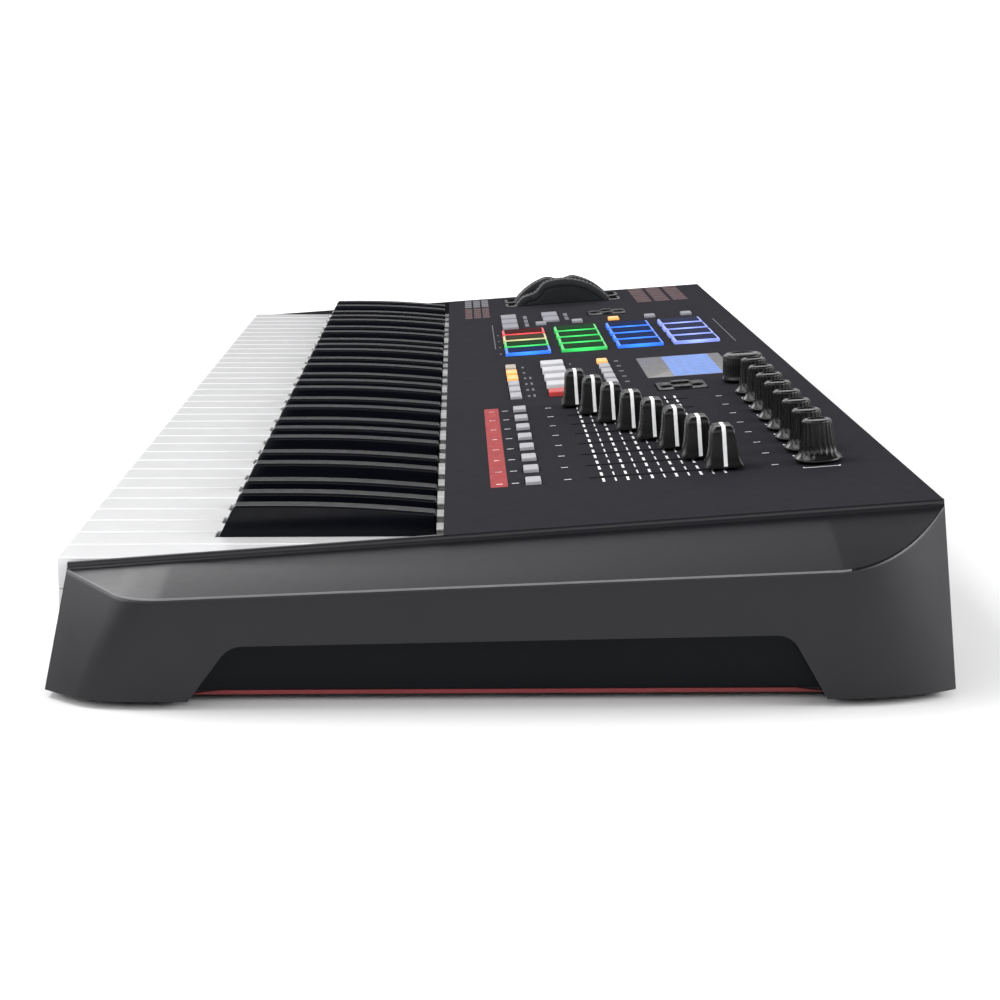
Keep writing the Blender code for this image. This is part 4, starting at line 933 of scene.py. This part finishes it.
def wheels():
    """Sector wheels: smooth rims beside a ribbed tread, a finger notch, and ribs on their sides."""
    for name, notch in NOTCH_CENTRES.items():
        low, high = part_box(name)
        x = (low.x + high.x) / 2
        axle = Vector(JOINTS["pitch_bend"]["pos_m"])
        place = Matrix.Translation((x, axle.y, axle.z)) @ PANEL.to_3x3().to_4x4()
        steps = TREADS * 4
        rings = []
        for i in range(steps + 1):
            from_notch = -WHEEL_SECTOR + 2 * WHEEL_SECTOR * i / steps
            away = from_notch / NOTCH_HALF_ANGLE
            dip = NOTCH_DEPTH * math.cos(away * math.pi / 2) ** 2 if abs(away) < 1 else 0.0
            angle = notch + from_notch
            ring = []
            for px, depth in WHEEL_PROFILE:
                tread = 0.45 if abs(px) < 5.5 and i % 4 < 2 else 0.0
                radius = WHEEL_RADIUS - dip - (depth - tread) * MM
                ring.append((px * MM, radius * math.sin(angle), radius * math.cos(angle)))
            rings.append(ring)
        bm = bmesh.new()
        loft(bm, rings)
        piece(f"{name}_rim", bm, "tread", name, place, sharp=30, replaced=[name])
        ribs = bmesh.new()
        for side in (-1, 1):
            for i in range(24):
                angle = notch - WHEEL_SECTOR + 2 * WHEEL_SECTOR * (i + 0.5) / 24
                radial = Vector((0, math.sin(angle), math.cos(angle)))
                across = Vector((0, math.cos(angle), -math.sin(angle))) * 0.45 * MM
                corners = []
                for reach in (14 * MM, WHEEL_RADIUS - 10.5 * MM):
                    corners += [radial * reach - across, radial * reach + across]
                corners = [corners[0], corners[1], corners[3], corners[2]]
                loft(ribs, [[(side * px, p.y, p.z) for p in corners] for px in (7.6 * MM, 8.4 * MM)])
        piece(f"{name}_ribs", ribs, "tread", name, place)
        frame_piece = bmesh.new()
        outer = rounded_rectangle((21.5 * MM, 78 * MM), 2.5 * MM)
        inner = rounded_rectangle((18.2 * MM, 74.2 * MM), 0.8 * MM)
        rings = []
        for outline, z in ((inner, -1 * MM), (inner, 0.5 * MM), (outer, 0.35 * MM), (outer, -0.05 * MM)):
            rings.append([(px, py, z) for px, py in outline])
        loft(frame_piece, rings, closed=True)
        piece(f"{name}_surround", frame_piece, "control", "case", panel_place(x, 58 * MM))


# ---- Rear and underside ------------------------------------------------------------------------
SOCKET_Z = 28 * MM
REAR_FACE_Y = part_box("rear_panel")[1].y


def rear_place(x, z=SOCKET_Z):
    """A matrix on the rear panel's face whose z points out of it."""
    return Matrix.Translation((x, REAR_FACE_Y, z)) @ Matrix.Rotation(math.radians(-90), 4, "X")


def ring_piece(name, x, inner, outer, height, finish, segments=48, flats=0):
    """A washer or nut round a socket's hole."""
    bm = bmesh.new()
    outline = circle(outer, segments)
    if flats:
        outline = []
        for i in range(segments):
            angle = 2 * math.pi * i / segments
            off = (angle % (2 * math.pi / flats)) - math.pi / flats
            radius = outer * math.cos(math.pi / flats) / math.cos(off)
            outline.append((radius * math.cos(angle), radius * math.sin(angle)))
    hole = circle(inner, segments)
    edge = 0.25 * MM
    rings = [[(px, py, 0) for px, py in hole], [(px, py, height - edge) for px, py in hole]]
    rings.append([(px * (1 + edge / inner), py * (1 + edge / inner), height) for px, py in hole])
    rings.append([(px * (1 - edge / outer), py * (1 - edge / outer), height) for px, py in outline])
    rings.append([(px, py, height - edge) for px, py in outline])
    rings.append([(px, py, 0) for px, py in outline])
    loft(bm, rings, closed=True)
    piece(name, bm, finish, "case", rear_place(x), sharp=30)


def rear_details():
    """Nuts and washers on the pedal jacks, rims on the round sockets, and the socket pins."""
    for name, x in (("expression", 262), ("foot_switch_2", 238), ("foot_switch_1", 214)):
        ring_piece(f"{name}_washer", x * MM, 4.4 * MM, 7.4 * MM, 0.6 * MM, "steel")
        ring_piece(f"{name}_nut", x * MM, 4.0 * MM, 6.4 * MM, 2.4 * MM, "steel", 48, 6)
    ring_piece("dc_rim", 345 * MM, 3.9 * MM, 5.6 * MM, 0.8 * MM, "socket")
    for name, x in (("midi_out", 180), ("midi_in", 148)):
        ring_piece(f"{name}_rim", x * MM, 8.3 * MM, 9.6 * MM, 0.7 * MM, "socket")
        pins = bmesh.new()
        for i in range(5):
            angle = math.radians(180 - 45 * i)
            centre = (5.0 * MM * math.cos(angle), 5.0 * MM * math.sin(angle))
            rings = [(0.7, -12), (0.7, -7.2), (0.45, -6.9), (0.2, -6.8)]
            loft(pins, [[(px, py, z * MM) for px, py in circle(r * MM, 16, centre)] for r, z in rings])
        piece(f"{name}_pins", pins, "steel", "case", rear_place(x * MM))
        shell = bmesh.new()
        rings = []
        for radius, z in ((7.3, -9), (7.3, -0.6), (7.65, -0.6), (7.65, -9)):
            rings.append([(px, py, z * MM) for px, py in circle(radius * MM, 48)])
        loft(shell, rings, closed=True)
        piece(f"{name}_shell", shell, "steel", "case", rear_place(x * MM), sharp=30)


def screw(name, place, radius=2.9 * MM):
    """A domed cross-head screw, sunk at its place with its head along +z."""
    bm = bmesh.new()
    profile = [(radius, 0), (radius, 0.35 * MM), (radius * 0.8, 0.8 * MM), (radius * 0.45, 1.05 * MM)]
    profile.append((radius * 0.1, 1.1 * MM))
    turned(bm, profile, 32)
    head = piece(name, bm, "steel", "case", place, sharp=50)
    for size in ((0.32, 1.15), (1.15, 0.32)):
        half = [radius * s / 2 for s in size]
        slot = bmesh.new()
        box(slot, (-half[0], half[0]), (-half[1], half[1]), (0.35 * MM, 3 * MM))
        cut(head, slot, f"{name}_cross", place)


def screws():
    """Two rows across the rear panel and three across the base."""
    for i, x in enumerate((-395, -250, -60, 60, 120, 375), 1):
        screw(f"rear_screw_{i}", rear_place(x * MM, 50 * MM))
        screw(f"rear_low_screw_{i}", rear_place(x * MM, 9 * MM))
    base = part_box("bottom_case")[0].z
    for i, x in enumerate((-400, -240, -80, 80, 240, 400), 1):
        for row, y in (("front", -135), ("middle", 0), ("rear", 135)):
            down = Matrix.Translation((x * MM, y * MM, base)) @ Matrix.Rotation(math.pi, 4, "X")
            screw(f"base_screw_{row}_{i}", down)


def feet():
    """Turned rubber feet with a rolled rim and a sunk middle."""
    for node in ("foot_front_left", "foot_front_right", "foot_rear_left", "foot_rear_right"):
        low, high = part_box(node)
        centre = (low + high) / 2
        bm = bmesh.new()
        tall = (high.z - low.z) / MM
        profile = [(8.4, tall), (8.5, tall * 0.5), (8.3, 0.25), (7.9, 0.0)]
        profile += [(5.6, 0.0), (5.2, 0.35), (1.0, 0.4)]
        turned(bm, [(r * MM, z * MM) for r, z in profile], 64)
        place = Matrix.Translation((centre.x, centre.y, low.z))
        piece(f"{node}_pad", bm, "rubber", "case", place, sharp=35, replaced=[node])


# ---- Looks of the solids that stay ---------------------------------------------------------------
NODE_LOOKS = {
    "top_panel": "panel",
    "bottom_case": "base_red",
    "rear_panel": "case",
    "power_button": "control",
    "data_shaft": "steel",
    "wheel_bracket": "steel",
    "key_chassis": "steel",
    "control_board": "board",
    "main_board": "board",
    "jack_board": "board",
}


def dress_solids():
    """Finishes for the CAD solids that are shown as they are."""
    for node, name in NODE_LOOKS.items():
        obj = frame["nodes"][node]
        obj.data.materials.clear()
        obj.data.materials.append(LOOKS[name])


# ---- Studio ------------------------------------------------------------------------------------
CAMERA_PLACE = (1.2332, -0.0148, 0.2102)
CAMERA_YAW = 0.01874
CAMERA_PITCH = 0.17982
LENS = 84.58
SENSOR = 36.0


def camera():
    """The photograph's view, from beyond the treble end."""
    data = bpy.data.cameras.new("camera")
    data.lens = LENS
    data.sensor_width = SENSOR
    data.clip_start = 0.01
    data.clip_end = 100
    obj = bpy.data.objects.new("camera", data)
    bpy.context.scene.collection.objects.link(obj)
    forward = Vector((
        -math.cos(CAMERA_PITCH) * math.cos(CAMERA_YAW),
        math.cos(CAMERA_PITCH) * math.sin(CAMERA_YAW),
        -math.sin(CAMERA_PITCH),
    ))
    obj.rotation_euler = forward.to_track_quat("-Z", "Y").to_euler()
    obj.location = CAMERA_PLACE
    bpy.context.scene.camera = obj


def softbox(name, place, target, size, power):
    """A rectangular lamp turned to its target."""
    data = bpy.data.lights.new(name, "AREA")
    data.shape = "RECTANGLE"
    data.size, data.size_y = size
    data.energy = power
    obj = bpy.data.objects.new(name, data)
    bpy.context.scene.collection.objects.link(obj)
    obj.location = place
    obj.rotation_euler = (Vector(target) - Vector(place)).to_track_quat("-Z", "Y").to_euler()


SKY_STRENGTH = 0.9
BACKDROP = (1.3, 1.3, 1.3)  # what the camera sees of the sky
SKY = (  # sine of the height above the horizon, and brightness
    (0.0, 1.3), (0.035, 1.3), (0.055, 0.15), (0.24, 0.25), (0.32, 3.2), (0.52, 2.6), (0.64, 0.15),
    (0.85, 0.15), (0.92, 0.5), (1.0, 0.5),
)


SOFTBOXES = (  # name, place, target, size, power in watts
    ("key_light", (0.2, -0.8, 1.3), (0.2, -0.05, 0.04), (0.9, 0.5), 10),
    ("front_light", (0.3, -1.2, 0.55), (0.2, -0.1, 0.04), (0.9, 0.4), 2.5),
    ("rear_light", (0.5, 1.2, 0.5), (0.4, 0.1, 0.04), (0.9, 0.4), 8),
    ("left_light", (-1.2, -0.9, 0.7), (0.4, -0.1, 0.04), (0.9, 0.4), 3),
)


def studio():
    """The floor, a sky that is brightest at the heights the case mirrors, and the lamps."""
    bm = bmesh.new()
    across = (-FLOOR_HALF, FLOOR_HALF)
    box(bm, across, across, (-FLOOR_THICKNESS, FLOOR_TOP_Z))
    mesh = bpy.data.meshes.new("floor")
    bmesh.ops.recalc_face_normals(bm, faces=bm.faces)
    bm.to_mesh(mesh)
    bm.free()
    mesh.materials.append(LOOKS["floor"])
    floor = bpy.data.objects.new("floor", mesh)
    bpy.context.scene.collection.objects.link(floor)
    world = bpy.data.worlds.new("studio")
    bpy.context.scene.world = world
    world.use_nodes = True
    tree = world.node_tree
    direction = tree.nodes.new("ShaderNodeTexCoord").outputs["Generated"]
    height = tree.nodes.new("ShaderNodeSeparateXYZ")
    tree.links.new(direction, height.inputs["Vector"])
    ramp = tree.nodes.new("ShaderNodeValToRGB")
    tree.links.new(height.outputs["Z"], ramp.inputs["Fac"])
    elements = ramp.color_ramp.elements
    for place, level in SKY[1:-1]:
        elements.new(place)
    for element, (place, level) in zip(elements, SKY):
        element.position = place
        element.color = (level, level, level * 1.01, 1)
    seen = tree.nodes.new("ShaderNodeMix")
    seen.data_type = "RGBA"
    tree.links.new(tree.nodes.new("ShaderNodeLightPath").outputs["Is Camera Ray"], seen.inputs["Factor"])
    tree.links.new(ramp.outputs["Color"], seen.inputs[COLOUR_A])
    seen.inputs[COLOUR_B].default_value = (*BACKDROP, 1)
    background = tree.nodes["Background"]
    tree.links.new(seen.outputs[COLOUR_RESULT], background.inputs["Color"])
    background.inputs["Strength"].default_value = SKY_STRENGTH
    for lamp in SOFTBOXES:
        softbox(*lamp)
    bpy.context.scene.view_settings.view_transform = "Standard"


make_looks()
dress_solids()
keys()
end_cap("end_cap_left", -1)
end_cap("end_cap_right", 1)
knobs()
faders()
buttons()
pads()
cursor_pads()
display()
prints()
wheels()
rear_details()
screws()
feet()
camera()
studio()
